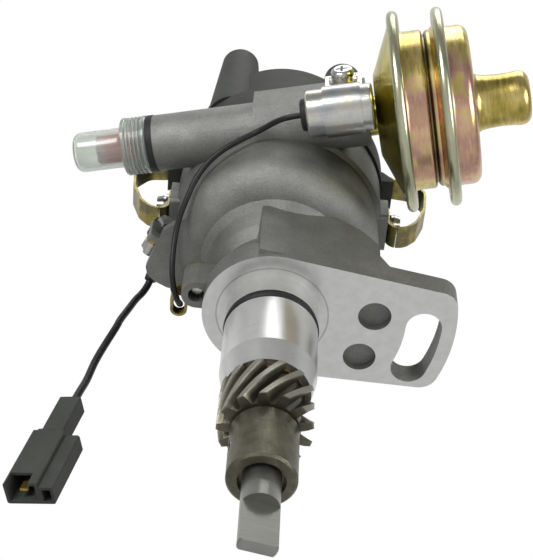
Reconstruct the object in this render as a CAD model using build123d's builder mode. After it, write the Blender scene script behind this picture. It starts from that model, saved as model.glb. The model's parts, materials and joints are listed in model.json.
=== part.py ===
"""Ignition distributor for a four-cylinder engine, in millimetres.

+Z runs up the shaft toward the cap. The origin is on the shaft's axis, in the seating
face of the clamp flange. +X runs along the advance tube, from the selector to the
vacuum unit, and the tube lies on the -Y side of the bowl.
"""

import os
from math import atan2, cos, degrees, hypot, radians, sin, sqrt, tan

from build123d import *

os.makedirs("parts", exist_ok=True)

# Clearances
RUN = 0.05             # radial running clearance of every journal and pin
SIDE = 0.3             # gap between faces that move past each other

# Shaft and drive
SHAFT_R = 6.25
SPINDLE_R = 4.5        # upper spindle that carries the cam
TANG_THICK = 4.4
TANG_SHOULDER_Z = -99.3
TANG_TIP_Z = -116.0
TANG_AZ = 25.4         # direction of the tang's width and of the cross pin
GEAR_TEETH = 13
GEAR_R = 15.9          # over the tooth tips
GEAR_ROOT_R = 11.6
GEAR_HELIX = 38.0      # helix angle at the tips
COLLAR_R = 11.35
COLLAR_BOTTOM_Z = -87.7
GEAR_BOTTOM_Z = -63.7
NECK_GROOVE = 1.4      # undercut between collar and teeth
COLLAR_BORE_R = 7.75   # counterbore in the end of the collar
PIN_R = 2.5
PIN_BORE_R = 1.3
PIN_Z = -75.7
WASHER_R = 12.6
WASHER_THICK = 0.9

# Shank, flange and neck of the casting
SHANK_R = 16.7
SHANK_BOTTOM_Z = -44.9
LEAD_IN_Z = -35.6      # the lead-in taper starts here
LEAD_IN_R = 14.8
RING_GROOVE_LOW_Z = -11.9
RING_GROOVE_HIGH_Z = -7.85
RING_GROOVE_R = 14.0
RING_PROUD = 0.35
FLANGE_T = 9.5
FLANGE_LAND_R = 25.4   # machined land about the shank
FLANGE_END_R = 66.6    # outer end, an arc about the shaft
FLANGE_FRONT_AZ = 23.0
FLANGE_BACK_AZ = 15.5
FLANGE_CORNER_R = 7.0
SLOT_R = 54.95         # clamp slot, its centre line's radius about the shaft
SLOT_W = 13.1
SLOT_AZ_LOW = 13.8
SLOT_AZ_HIGH = 33.2
POCKET_R = 6.0         # two blind cast pockets in the seating face
POCKET_DEPTH = 3.0
POCKETS = [(36.5, 5.5), (28.7, 22.7)]
NECK_R = 20.8
NECK_TOP_Z = 20.0
NECK_STEP_R = 23.4
NECK_STEP_Z = 25.0
NECK_LIP_R = 25.5
NECK_LIP_Z = 31.0

# Bowl
BOWL_R = 39.5
BOWL_FLOOR_Z = 33.5
BOWL_SIDE_Z = 47.5     # the rounded bottom ends here
BAND_Z = 60.7          # underside of the rim band
BAND_R = 41.0
RIM_Z = 84.0
BOWL_WALL = 3.0
CAVITY_FLOOR_Z = 38.0
LEDGE_Z = 62.0         # ledge that the base plate sits on
LEDGE_R = 38.4

# Advance tube on the front of the bowl
TUBE_Y = -38.0
TUBE_Z = 70.3
TUBE_R = 10.9
TUBE_LEFT_X = -42.0
TUBE_RIGHT_X = 41.0
TUBE_BORE_R = 6.0
SOCKET_R = 7.5         # takes the vacuum unit's neck
SOCKET_X = 17.0
PAD_LEFT_X = -2.0
PAD_Y = -49.6
PAD_LOW_Z = 67.1
PAD_FACET = (4.9, 5.4)    # slanted face below the pad, in depth and height
PAD_HIGH_Z = 80.6

# Shelf on the bowl's left, and the primary terminal on its tab
SHELF_Z = 38.5
SHELF_T = 3.0
SHELF_OUT = BOWL_R + 11.2      # outermost point of the shelf
TERMINAL = (-BOWL_R - 3.5, -12.6, 46.0)
TERMINAL_AZ = 130.0    # direction of the terminal bolt's nut end
TAB_T = 2.8
TAB_W = 9.4
TAB_OUT = 4.4          # outer edge of the tab, from the bolt
TAB_TOP = 4.2          # top of the tab above the bolt
INSULATOR_R = 3.5
INSULATOR_LIP_R = 4.5
INSULATOR_LIP_T = 1.8
BOLT_R = 2.0
EYE_T = 1.0
EYE_R = 3.6
BARREL_R = 1.9
BARREL_LEN = 4.8
BARREL_AZ = (100.7, TERMINAL_AZ)  # the condenser's barrel, then the primary's
BARREL_OFF = 5.7       # from the bolt to the barrel's axis

# Condenser
CAN_R = 8.75
CAN_X = (19.5, 44.2)
CAN_Y = -50.6
CAN_Z = 53.8
STRAP_T = 0.8
STRAP_X = (26.0, 40.0)
STRAP_SCREW_Z = 77.6
STRAP_TOP_Z = 82.4
CAN_SCREW_R = 2.0
CAN_HEAD_R = 4.4
SEAL_LEN = 3.4
SEAL_R = 6.0             # rubber end of the condenser
LEAD_D = 2.2

# Lead clip on its ear, and the primary lead with its connector
EAR_R = 5.6
EAR_H = 13.0
EAR_SCREW_R = 1.95
LOOP_AT = (-36.8, 3.5)
LOOP_AZ = 102.0
LOOP_Z = 18.4
LOOP_H = 4.2
LOOP_LEN = 8.6
LOOP_W = 4.4
LOOP_T = 1.0
PRIMARY_D = 2.8
PLUG_TOP = (-67.8, -0.1, -40.2)
PLUG_AXIS = (-0.146, -0.085, -0.986)
PLUG_LEN = 48.0
BOOT_LEN = 19.8
BOOT_W = 7.9
BOOT_D = 7.0
BODY_X = (-6.4, 5.1)
BODY_D = 8.0
RAIL_X = 10.0          # outer side of the rail beside the body
RAIL_D = 6.4
PLUG_WALL = 1.0
MOUTH_DEPTH = 18.0
SLEEVE_LEN = 2.6

# Vacuum unit, its profile taken along the tube's axis
V_NECK_R = 7.4
V_ROD_HOLE_R = 4.0
V_SHEET = 1.0
V_CONE_X = 45.0
V_CONE_R = 15.5
V_RIM_R = 38.4
V_RIM2_R = 37.8
V_RIM_X = 53.0         # inner rim's clamping plane
V_DRUM_R = 30.2
V_WAIST_X = 64.6       # the two cups meet here
V_RIM2_X = 69.6
V_DRUM_END_X = 81.2
V_NOSE_R = 10.4
V_NOSE_X = 102.2
V_MEMBRANE = 0.8
V_ROD_R = 1.6
V_STROKE = 5.0
PORT_R = 2.7             # stub of a hose port, up to the rims
PORT_TIP_R = 2.3         # end that the hose goes over
PORT_BORE_R = 1.3
PORT_AZ = 56.0         # ports point up and back, away from the flange side

V_HOLE_R = 15.0        # passage between the two cups
V_PISTON_R = 20.0
V_PISTON_HUB_R = 5.0
V_SPRING_R = 11.0
V_WIRE_R = 0.7
ROD_END_X = -6.5
ROD_SLOT = 5.0
ARM_W = 8.0
PORT_X_IN = 59.7
PORT_X_OUT = 77.2
PORT_LEN = 12.0

# Selector at the tube's other end
SPIGOT_R = 8.0
SPIGOT_LEN = 3.2
SEL_RIB_R = 10.4
GASKET_T = 2.4
GASKET_R = 11.1
SEL_FLANGE_R = 11.3
SEL_FLANGE_X = -54.6
SEL_BODY_R = 7.8
SEL_TIP_X = -74.6
SEL_WALL = 1.3
KNOB_R = 5.6
KNOB_X = (-65.0, -49.5)
STEM_R = 3.0

# Cap
CAP_GAP = 0.3
SEAL_T = 0.8
CAP_R = 42.0
SKIRT_TOP_Z = 101.0      # the cap's wide skirt ends here
CAP_BODY_R = 36.5
CAP_TOP_Z = 129.5
CAP_WALL = 4.0
TOWER_PCR = 32.0
TOWER_AZ = [-118.0, -28.0, 62.0, 152.0]
TOWER_BASE_R = 11.2
TOWER_TIP_R = 7.9
TOWER_TOP_Z = 154.3
CENTRE_TOP_Z = 158.0
SOCKET_BORE_R = 4.1
SOCKET_DEPTH = 18.0
ELECTRODE_R = 2.6
ELECTRODE_PCR = 30.0
ELECTRODE_LOW_Z = 100.0
BRUSH_R = 2.5
BRUSH_LEN = 9.0
BRUSH_TRAVEL = 11.0    # room for the brush's spring above it

# Clips
CLIP_AZ = 13.5
CLIP_W = 9.4
CLIP_T = 1.0
LUG_R = 43.2
LUG_W = 16.5
LUG_TOP_Z = 75.0
HOOK_BEND = 6.0
HOOK_CORNERS = ((3.6, 0.4), (8, 5.7), (11.6, 16), (12.6, 28.5), (7.5, 36.5))  # from the hinge
CLIP_PIVOT = (47.0, 59.5)
CLIP_NOSE_R = 1.3
CLIP_SCREW_Z = 68.5

# Breaker and governor
BASE_T = 1.6
MOVE_GAP = 0.4
MOVE_T = 1.5
HUB_R = 12.0
CAM_BORE_R = SPINDLE_R + RUN
CAM_FLAT = 7.9
CAM_LOBE_R = 8.9
ROTOR_SEAT_Z = 80.0
SEAT_H = 11.0          # height of the rotor's seat on the cam
SEAT_R = 6.4
SEAT_KEY = (3.0, 2.4)  # key slot across the seat
ROTOR_ARM_Z = 95.0
ROTOR_TOP_Z = 101.0
ROTOR_HUB_R = 10.0
ROTOR_TIP_R = 26.2
ROD_PIN_R = 1.5
ROD_PIN_PCR = 30.0
GOV_Z = 44.0
GOV_T = 2.0
WEIGHT_PIVOT = 20.0
WEIGHT_PIN = 11.0
WEIGHT_PIN_R = 1.5
PIN_PLAY = 0.2         # the weights' pins swing a little off their slots' line
SPRING_POST_R = 18.0
SPRING_POST_AZ = -60.0
SPRING_PEG = (14.5, -3.5)


def ring_at(radius, azimuth, z=0.0):
    """A point at a radius and an azimuth about the shaft."""
    return (radius * cos(radians(azimuth)), radius * sin(radians(azimuth)), z)


def radial_plane(azimuth, radius=0.0, z=0.0):
    """A plane whose x runs radially outward, whose y runs up and whose z runs sideways."""
    along = (cos(radians(azimuth)), sin(radians(azimuth)), 0)
    across = (sin(radians(azimuth)), -cos(radians(azimuth)), 0)
    return Plane(origin=ring_at(radius, azimuth, z), x_dir=along, z_dir=across)


def outward_plane(azimuth, radius, z):
    """A plane that faces outward, at a radius about the shaft."""
    side = (-sin(radians(azimuth)), cos(radians(azimuth)), 0)
    out = (cos(radians(azimuth)), sin(radians(azimuth)), 0)
    return Plane(origin=ring_at(radius, azimuth, z), x_dir=side, z_dir=out)


tab_plane = Plane(
    origin=TERMINAL, x_dir=ring_at(1, TERMINAL_AZ + 90), z_dir=ring_at(1, TERMINAL_AZ)
)

# The advance tube's axis as a revolve axis, and a plane to draw profiles along it
TUBE_AXIS = Axis((0, TUBE_Y, TUBE_Z), (1, 0, 0))
TUBE_PLANE = Plane(origin=(0, TUBE_Y, TUBE_Z), x_dir=(1, 0, 0), z_dir=(0, -1, 0))


def tube_face(x):
    """A plane across the advance tube, facing +X."""
    return Plane(origin=(x, TUBE_Y, TUBE_Z), x_dir=(0, 1, 0), z_dir=(1, 0, 0))


# Housing: one casting from the shank to the rim
flange_front = radians(FLANGE_FRONT_AZ)
flange_back = radians(FLANGE_BACK_AZ)
bush_r = 9.0

with BuildPart() as housing:
    with BuildSketch(Plane.XZ):
        with BuildLine():
            Polyline(
                (0, SHANK_BOTTOM_Z), (LEAD_IN_R, SHANK_BOTTOM_Z), (SHANK_R, LEAD_IN_Z),
                (SHANK_R, RING_GROOVE_LOW_Z), (RING_GROOVE_R, RING_GROOVE_LOW_Z),
                (RING_GROOVE_R, RING_GROOVE_HIGH_Z), (SHANK_R, RING_GROOVE_HIGH_Z),
                (SHANK_R, FLANGE_T / 2), (NECK_R, FLANGE_T / 2), (NECK_R, NECK_TOP_Z),
                (NECK_STEP_R, NECK_STEP_Z), (NECK_LIP_R, NECK_LIP_Z),
                (NECK_LIP_R + 3, BOWL_FLOOR_Z),
            )
            corner_r = BOWL_R - NECK_LIP_R - 3
            ThreePointArc(
                (NECK_LIP_R + 3, BOWL_FLOOR_Z),
                (NECK_LIP_R + 3 + corner_r * 0.74, BOWL_FLOOR_Z + (BOWL_SIDE_Z - BOWL_FLOOR_Z) * 0.32),
                (BOWL_R, BOWL_SIDE_Z),
            )
            Polyline(
                (BOWL_R, BOWL_SIDE_Z), (BOWL_R, BAND_Z), (BAND_R, BAND_Z + 1.5),
                (BAND_R, RIM_Z), (0, RIM_Z), (0, SHANK_BOTTOM_Z),
            )
        make_face()
    revolve(axis=Axis.Z)

    # Flange plate: land circle, two edges tangent to it and an arc end
    with BuildSketch(Plane.XY):
        with BuildLine():
            front_in = Vector(sin(flange_front), -cos(flange_front)) * FLANGE_LAND_R
            back_in = Vector(-sin(flange_back), cos(flange_back)) * FLANGE_LAND_R
            reach = sqrt(FLANGE_END_R**2 - FLANGE_LAND_R**2)
            front_out = front_in + Vector(cos(flange_front), sin(flange_front)) * reach
            back_out = back_in + Vector(cos(flange_back), sin(flange_back)) * reach
            middle = (FLANGE_FRONT_AZ + FLANGE_BACK_AZ) / 2
            Line(back_in, (0, 0))
            Line((0, 0), front_in)
            Line(front_in, front_out)
            ThreePointArc(front_out, ring_at(FLANGE_END_R, middle)[:2], back_out)
            Line(back_out, back_in)
        make_face()
        outer = [v for v in vertices() if hypot(v.X, v.Y) > FLANGE_END_R - 0.1]
        fillet(outer, FLANGE_CORNER_R)
        Circle(FLANGE_LAND_R)
    extrude(amount=FLANGE_T)

    # Webs that stiffen the flange, one along each of its edges
    front_web = Plane(
        origin=(front_in.X, front_in.Y, 0),
        x_dir=(cos(flange_front), sin(flange_front), 0),
        z_dir=(sin(flange_front), -cos(flange_front), 0),
    )
    with BuildSketch(front_web):
        Polygon(
            (-10.7, 2), (-10.7, NECK_LIP_Z), (3, 34.6), (20.4, 33), (27, 29), (33.5, 22),
            (33.5, 15), (36.9, FLANGE_T), (36.9, 2), align=None,
        )
    extrude(amount=-9)
    back_web = Plane(
        origin=(back_in.X, back_in.Y, 0),
        x_dir=(-cos(flange_back), -sin(flange_back), 0),
        z_dir=(-sin(flange_back), cos(flange_back), 0),
    )
    with BuildSketch(back_web):
        Polygon(
            (10.7, 2), (10.7, NECK_LIP_Z), (-3, 34.6), (-20.4, 33), (-27, 29), (-33.5, 20),
            (-36.9, FLANGE_T), (-36.9, 2), align=None,
        )
    extrude(amount=-7)

    # Advance tube and its pad
    with BuildSketch(tube_face(TUBE_LEFT_X)):
        Circle(TUBE_R)
    extrude(amount=TUBE_RIGHT_X - TUBE_LEFT_X)
    with BuildSketch(Plane.XZ.offset(-PAD_Y)):
        with BuildLine():
            Polyline(
                (PAD_LEFT_X, PAD_LOW_Z), (TUBE_RIGHT_X, PAD_LOW_Z), (TUBE_RIGHT_X, PAD_HIGH_Z),
                (PAD_LEFT_X, PAD_HIGH_Z), (PAD_LEFT_X, PAD_LOW_Z),
            )
        make_face()
        with Locations(((STRAP_X[0] + STRAP_X[1]) / 2, STRAP_SCREW_Z - 1.5)):
            Circle(7)
    extrude(amount=-(TUBE_Y - PAD_Y) - 2)
    with BuildSketch(Plane(origin=(PAD_LEFT_X, 0, 0), x_dir=(0, 1, 0), z_dir=(1, 0, 0))):
        Polygon(
            (PAD_Y, PAD_LOW_Z), (PAD_Y + PAD_FACET[0], PAD_LOW_Z - PAD_FACET[1]),
            (TUBE_Y, PAD_LOW_Z - PAD_FACET[1]), (TUBE_Y, PAD_LOW_Z), align=None,
        )
    extrude(amount=TUBE_RIGHT_X - PAD_LEFT_X)

    # Lugs that carry the clips
    for azimuth in (CLIP_AZ, CLIP_AZ + 180):
        with BuildSketch(outward_plane(azimuth, LUG_R, (BAND_Z + LUG_TOP_Z) / 2)):
            RectangleRounded(LUG_W, LUG_TOP_Z - BAND_Z, 2)
        extrude(amount=-(LUG_R - BOWL_R + 1.5))

    # Shelf below the terminal, and the tab that the terminal bolt passes through
    with BuildSketch(Plane.XY.offset(SHELF_Z)):
        Polygon(
            (-30, -22), (10.1 - SHELF_OUT, -17.2), (2.2 - SHELF_OUT, -5.4), (0.1 - SHELF_OUT, -2),
            (-SHELF_OUT, 1.3), (2.3 - SHELF_OUT, 5.2), (6.4 - SHELF_OUT, 8.6),
            (13.1 - SHELF_OUT, 11.2), (-30, 13), align=None,
        )
    extrude(amount=SHELF_T)
    tab_low = SHELF_Z - TERMINAL[2]
    with BuildSketch(tab_plane):
        with Locations((TAB_OUT - TAB_W / 2, (tab_low + TAB_TOP) / 2)):
            RectangleRounded(TAB_W, TAB_TOP - tab_low, 1.5)
    extrude(amount=TAB_T / 2, both=True)

    # Ear for the lead clip
    ear = ring_at(28, -165)
    with BuildSketch(Plane.XY.offset(FLANGE_T - 2)):
        with Locations(ear[:2]):
            Circle(EAR_R)
        with Locations(ring_at(22, -165)[:2]):
            Rectangle(12, 2 * EAR_R, rotation=-165)
    extrude(amount=EAR_H)

    # Inside: bush bore, governor and breaker bowl, ledge and spigot seat
    with BuildSketch(Plane.XZ):
        with BuildLine():
            Polyline(
                (0, SHANK_BOTTOM_Z - 1), (bush_r, SHANK_BOTTOM_Z - 1), (bush_r, CAVITY_FLOOR_Z),
                (26, CAVITY_FLOOR_Z), (BOWL_R - BOWL_WALL, BOWL_SIDE_Z + 1),
                (BOWL_R - BOWL_WALL, LEDGE_Z), (LEDGE_R, LEDGE_Z), (LEDGE_R, RIM_Z + 1),
                (0, RIM_Z + 1), (0, SHANK_BOTTOM_Z - 1),
            )
        make_face()
    revolve(axis=Axis.Z, mode=Mode.SUBTRACT)

    # Bore of the tube, and the socket for the vacuum unit's neck
    with BuildSketch(tube_face(TUBE_LEFT_X - 1)):
        Circle(TUBE_BORE_R)
    extrude(amount=TUBE_RIGHT_X - TUBE_LEFT_X + 2, mode=Mode.SUBTRACT)
    with BuildSketch(tube_face(SOCKET_X)):
        Circle(SOCKET_R)
    extrude(amount=TUBE_RIGHT_X - SOCKET_X + 1, mode=Mode.SUBTRACT)

    # Clamp slot and cast pockets
    with BuildSketch(Plane.XY.offset(-1)):
        with BuildLine():
            centre_line = CenterArc((0, 0), SLOT_R, SLOT_AZ_LOW, SLOT_AZ_HIGH - SLOT_AZ_LOW)
        SlotArc(centre_line, SLOT_W)
    extrude(amount=FLANGE_T + 2, mode=Mode.SUBTRACT)
    with BuildSketch(Plane.XY.offset(-1)):
        with Locations(POCKETS):
            Circle(POCKET_R)
    extrude(amount=POCKET_DEPTH + 1, mode=Mode.SUBTRACT)

    # Ear hole: wide from below, screw size above
    with BuildSketch(Plane.XY.offset(FLANGE_T - 3)):
        with Locations(ear[:2]):
            Circle(3.1)
    extrude(amount=8, mode=Mode.SUBTRACT)
    with BuildSketch(Plane.XY.offset(FLANGE_T)):
        with Locations(ear[:2]):
            Circle(EAR_SCREW_R)
    extrude(amount=EAR_H + 1, mode=Mode.SUBTRACT)

    # Screw holes: clips, condenser strap, terminal
    for azimuth in (CLIP_AZ, CLIP_AZ + 180):
        with BuildSketch(outward_plane(azimuth, LUG_R + 1, CLIP_SCREW_Z)):
            Circle(1.95)
        extrude(amount=-6.5, mode=Mode.SUBTRACT)
    with BuildSketch(Plane.XZ.offset(-PAD_Y + 1)):
        with Locations(((STRAP_X[0] + STRAP_X[1]) / 2, STRAP_SCREW_Z)):
            Circle(CAN_SCREW_R)
    extrude(amount=-8, mode=Mode.SUBTRACT)
    with BuildSketch(tab_plane):
        Circle(INSULATOR_R)
    extrude(amount=TAB_T, both=True, mode=Mode.SUBTRACT)
housing.part.label = "housing"
export_step(housing.part, "parts/housing.step")


# O-ring in the shank groove
with BuildPart() as shank_o_ring:
    section_r = (SHANK_R + RING_PROUD - RING_GROOVE_R) / 2
    with BuildSketch(Plane.XZ):
        with Locations((RING_GROOVE_R + section_r, (RING_GROOVE_LOW_Z + RING_GROOVE_HIGH_Z) / 2)):
            Circle(section_r)
    revolve(axis=Axis.Z)
shank_o_ring.part.label = "shank_o_ring"
export_step(shank_o_ring.part, "parts/shank_o_ring.step")

# Sintered bushes, one at each end of the shank bore
with BuildPart() as bush_lower:
    with BuildSketch(Plane.XY.offset(SHANK_BOTTOM_Z)):
        Circle(bush_r)
        Circle(SHAFT_R + RUN, mode=Mode.SUBTRACT)
    extrude(amount=20)
    chamfer(bush_lower.edges().filter_by(GeomType.CIRCLE).sort_by(Axis.Z)[:1], 0.4)
bush_lower.part.label = "bush_lower"
export_step(bush_lower.part, "parts/bush_lower.step")

with BuildPart() as bush_upper:
    with BuildSketch(Plane.XY.offset(CAVITY_FLOOR_Z)):
        Circle(bush_r)
        Circle(SHAFT_R + RUN, mode=Mode.SUBTRACT)
    extrude(amount=-24)
bush_upper.part.label = "bush_upper"
export_step(bush_upper.part, "parts/bush_upper.step")

# Shaft: journal, upper spindle with a stop groove, and the tang at the bottom
gear_top_z = SHANK_BOTTOM_Z - SIDE - WASHER_THICK
spindle_top_z = ROTOR_SEAT_Z + SEAT_H - SIDE
with BuildPart() as drive_shaft:
    with BuildSketch(Plane.XZ):
        with BuildLine():
            Polyline(
                (0, TANG_TIP_Z), (SHAFT_R - 0.6, TANG_TIP_Z), (SHAFT_R, TANG_TIP_Z + 0.6),
                (SHAFT_R, GOV_Z), (SPINDLE_R, GOV_Z), (SPINDLE_R, spindle_top_z), (0, spindle_top_z),
                (0, TANG_TIP_Z),
            )
        make_face()
    revolve(axis=Axis.Z)
    with BuildSketch(Plane.XY.offset(TANG_TIP_Z - 1)):
        for side in (1, -1):
            with Locations(ring_at(side * (TANG_THICK / 2 + SHAFT_R), TANG_AZ + 90)[:2]):
                Rectangle(4 * SHAFT_R, 2 * SHAFT_R, rotation=TANG_AZ)
    extrude(amount=TANG_SHOULDER_Z - TANG_TIP_Z + 1, mode=Mode.SUBTRACT)
    with BuildSketch(outward_plane(TANG_AZ, -SHAFT_R - 1, PIN_Z)):
        Circle(PIN_R)
    extrude(amount=2 * SHAFT_R + 2, mode=Mode.SUBTRACT)
drive_shaft.part.label = "drive_shaft"
export_step(drive_shaft.part, "parts/drive_shaft.step")

# Helical gear with its collar: each tooth is lofted through turned sections
tooth_depth = GEAR_R - GEAR_ROOT_R
pitch_angle = 360 / GEAR_TEETH
gear_length = gear_top_z - GEAR_BOTTOM_Z
twist = degrees(gear_length * tan(radians(GEAR_HELIX)) / GEAR_R)
with BuildPart() as drive_gear:
    with BuildSketch(Plane.XZ):
        with BuildLine():
            Polyline(
                (0, COLLAR_BOTTOM_Z), (COLLAR_R - 0.8, COLLAR_BOTTOM_Z),
                (COLLAR_R, COLLAR_BOTTOM_Z + 0.8), (COLLAR_R, GEAR_BOTTOM_Z - NECK_GROOVE),
                (COLLAR_R - 1.3, GEAR_BOTTOM_Z - NECK_GROOVE), (COLLAR_R - 1.3, GEAR_BOTTOM_Z),
                (GEAR_ROOT_R, GEAR_BOTTOM_Z), (GEAR_ROOT_R, gear_top_z), (0, gear_top_z),
                (0, COLLAR_BOTTOM_Z),
            )
        make_face()
    revolve(axis=Axis.Z)
    for tooth in range(GEAR_TEETH):
        steps = 5
        for step in range(steps + 1):
            turn = tooth * pitch_angle + twist * step / steps
            with BuildSketch(Plane.XY.offset(GEAR_BOTTOM_Z + gear_length * step / steps)):
                with BuildLine():
                    root_half = pitch_angle * 0.36
                    tip_half = pitch_angle * 0.15
                    flank_r = GEAR_ROOT_R + tooth_depth * 0.55
                    flank_half = pitch_angle * 0.25
                    inner = GEAR_ROOT_R - 0.6
                    Polyline(
                        ring_at(inner, turn - root_half)[:2], ring_at(flank_r, turn - flank_half)[:2],
                        ring_at(GEAR_R, turn - tip_half)[:2], ring_at(GEAR_R, turn + tip_half)[:2],
                        ring_at(flank_r, turn + flank_half)[:2], ring_at(inner, turn + root_half)[:2],
                        ring_at(inner, turn - root_half)[:2],
                    )
                make_face()
        loft(ruled=False)
    with BuildSketch(Plane.XY.offset(COLLAR_BOTTOM_Z - 1)):
        Circle(SHAFT_R)
    extrude(amount=gear_top_z - COLLAR_BOTTOM_Z + 2, mode=Mode.SUBTRACT)
    with BuildSketch(Plane.XY.offset(COLLAR_BOTTOM_Z - 1)):
        Circle(COLLAR_BORE_R)
    extrude(amount=3.5, mode=Mode.SUBTRACT)
    with BuildSketch(outward_plane(TANG_AZ, -COLLAR_R - 1, PIN_Z)):
        Circle(PIN_R)
    extrude(amount=2 * COLLAR_R + 2, mode=Mode.SUBTRACT)
drive_gear.part.label = "drive_gear"
export_step(drive_gear.part, "parts/drive_gear.step")

# Rolled spring pin through collar and shaft
with BuildPart() as gear_pin:
    with BuildSketch(outward_plane(TANG_AZ, -COLLAR_R + 0.2, PIN_Z)):
        Circle(PIN_R)
        Circle(PIN_BORE_R, mode=Mode.SUBTRACT)
        with Locations((0, PIN_R)):
            Rectangle(0.6, 2.6, mode=Mode.SUBTRACT)
    extrude(amount=2 * COLLAR_R - 0.4)
gear_pin.part.label = "gear_pin"
export_step(gear_pin.part, "parts/gear_pin.step")

# Bronze thrust washer between shank and gear
with BuildPart() as thrust_washer:
    with BuildSketch(Plane.XY.offset(gear_top_z)):
        Circle(WASHER_R)
        Circle(SHAFT_R + RUN, mode=Mode.SUBTRACT)
    extrude(amount=WASHER_THICK)
thrust_washer.part.label = "thrust_washer"
export_step(thrust_washer.part, "parts/thrust_washer.step")

# Governor plate on the shaft's shoulder, with the two weight pivots and spring posts
weight_low_z = GOV_Z + GOV_T + SIDE
weight_t = 5.0
flange_low_z = weight_low_z + weight_t + 2 * SIDE
flange_t = 1.8
spring_z = flange_low_z + flange_t + 2.6
spring_post = ring_at(SPRING_POST_R, SPRING_POST_AZ)
with BuildPart() as governor_plate:
    with BuildSketch(Plane.XY.offset(GOV_Z)):
        Circle(13)
        SlotOverall(2 * WEIGHT_PIVOT + 12, 14)
        SlotOverall(2 * SPRING_POST_R + 8, 9, rotation=SPRING_POST_AZ)
        Circle(SPINDLE_R, mode=Mode.SUBTRACT)
    extrude(amount=GOV_T)
    with BuildSketch(Plane.XY.offset(GOV_Z + GOV_T)):
        with Locations(spring_post[:2], (-spring_post[0], -spring_post[1])):
            Circle(1.2)
    extrude(amount=spring_z + 1.2 - GOV_Z - GOV_T)
    with BuildSketch(Plane.XY.offset(GOV_Z + GOV_T)):
        with Locations((WEIGHT_PIVOT, 0), (-WEIGHT_PIVOT, 0)):
            Circle(2)
    extrude(amount=weight_t + 2 * SIDE)
governor_plate.part.label = "governor_plate"
export_step(governor_plate.part, "parts/governor_plate.step")


# Governor weights: a crescent mass, its pivot eye and the pin that turns the cam
def weight_outline(turn):
    """Draws one weight's outline, turned about the shaft."""
    mass = CenterArc((0, 0), 19.5, turn + 8, 82, mode=Mode.PRIVATE)
    SlotArc(mass, 9)
    with Locations(ring_at(WEIGHT_PIVOT, turn)[:2]):
        Circle(4.6)
    with Locations(ring_at((WEIGHT_PIVOT + WEIGHT_PIN) / 2, turn)[:2]):
        Rectangle(WEIGHT_PIVOT - WEIGHT_PIN, 5.2, rotation=turn)
    with Locations(ring_at(WEIGHT_PIN, turn)[:2]):
        Circle(2.6)
    with Locations(ring_at(WEIGHT_PIVOT, turn)[:2]):
        Circle(2 + RUN, mode=Mode.SUBTRACT)


with BuildPart() as governor_weight_a:
    with BuildSketch(Plane.XY.offset(weight_low_z)):
        weight_outline(0)
    extrude(amount=weight_t)
    with BuildSketch(Plane.XY.offset(weight_low_z + weight_t)):
        with Locations((WEIGHT_PIN, 0)):
            Circle(WEIGHT_PIN_R)
    extrude(amount=2 * SIDE + flange_t)
governor_weight_a.part.label = "governor_weight_a"
export_step(governor_weight_a.part, "parts/governor_weight_a.step")

with BuildPart() as governor_weight_b:
    with BuildSketch(Plane.XY.offset(weight_low_z)):
        weight_outline(180)
    extrude(amount=weight_t)
    with BuildSketch(Plane.XY.offset(weight_low_z + weight_t)):
        with Locations((-WEIGHT_PIN, 0)):
            Circle(WEIGHT_PIN_R)
    extrude(amount=2 * SIDE + flange_t)
governor_weight_b.part.label = "governor_weight_b"
export_step(governor_weight_b.part, "parts/governor_weight_b.step")

# Cam: slotted drive flange, four-lobed cam and the rotor's seat, in one piece
cam_mid_z = 70.5
base_z = LEDGE_Z
with BuildPart() as cam:
    with BuildSketch(Plane.XY.offset(flange_low_z)):
        SlotOverall(2 * WEIGHT_PIN + 13, 12)
        with Locations((WEIGHT_PIN, 0), (-WEIGHT_PIN, 0)):
            SlotOverall(2 * (WEIGHT_PIN_R + PIN_PLAY) + 2.4, 2 * (WEIGHT_PIN_R + PIN_PLAY), mode=Mode.SUBTRACT)
    extrude(amount=flange_t)
    with BuildSketch(Plane.XY.offset(flange_low_z + flange_t)):
        with Locations(SPRING_PEG, (-SPRING_PEG[0], -SPRING_PEG[1])):
            Circle(1)
    extrude(amount=spring_z + 1 - flange_low_z - flange_t)
    with BuildSketch(Plane.XY.offset(flange_low_z)):
        Circle(7)
    extrude(amount=ROTOR_SEAT_Z - flange_low_z)
    with BuildSketch(Plane.XY.offset(cam_mid_z - 4.5)):
        Circle(CAM_LOBE_R)
        Rectangle(2 * CAM_FLAT, 2 * CAM_FLAT, mode=Mode.INTERSECT)
    extrude(amount=9)
    with BuildSketch(Plane.XY.offset(ROTOR_SEAT_Z)):
        Circle(SEAT_R)
        with Locations((0, SEAT_R)):
            Rectangle(*SEAT_KEY, mode=Mode.SUBTRACT)
    extrude(amount=SEAT_H)
    with BuildSketch(Plane.XY.offset(flange_low_z - 1)):
        Circle(CAM_BORE_R)
    extrude(amount=50, mode=Mode.SUBTRACT)
cam.part.label = "cam"
export_step(cam.part, "parts/cam.step")

# Rotor arm and its brass strip
with BuildPart() as rotor:
    with BuildSketch(Plane.XY.offset(ROTOR_SEAT_Z)):
        Circle(ROTOR_HUB_R)
    extrude(amount=ROTOR_ARM_Z - ROTOR_SEAT_Z + 2)
    with BuildSketch(Plane.XY.offset(ROTOR_ARM_Z)):
        with Locations((6.5, 0)):
            SlotOverall(33, 13)
        with Locations((-6, 0)):
            SlotOverall(20, 15)
    extrude(amount=ROTOR_TOP_Z - ROTOR_ARM_Z)
    fillet(rotor.faces().sort_by(Axis.Z)[-1].edges(), 0.8)
    with BuildSketch(Plane.XY.offset(ROTOR_SEAT_Z - 1)):
        Circle(SEAT_R)
        with Locations((0, SEAT_R)):
            Rectangle(*SEAT_KEY, mode=Mode.SUBTRACT)
    extrude(amount=SEAT_H + 1, mode=Mode.SUBTRACT)
rotor.part.label = "rotor"
export_step(rotor.part, "parts/rotor.step")

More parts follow.
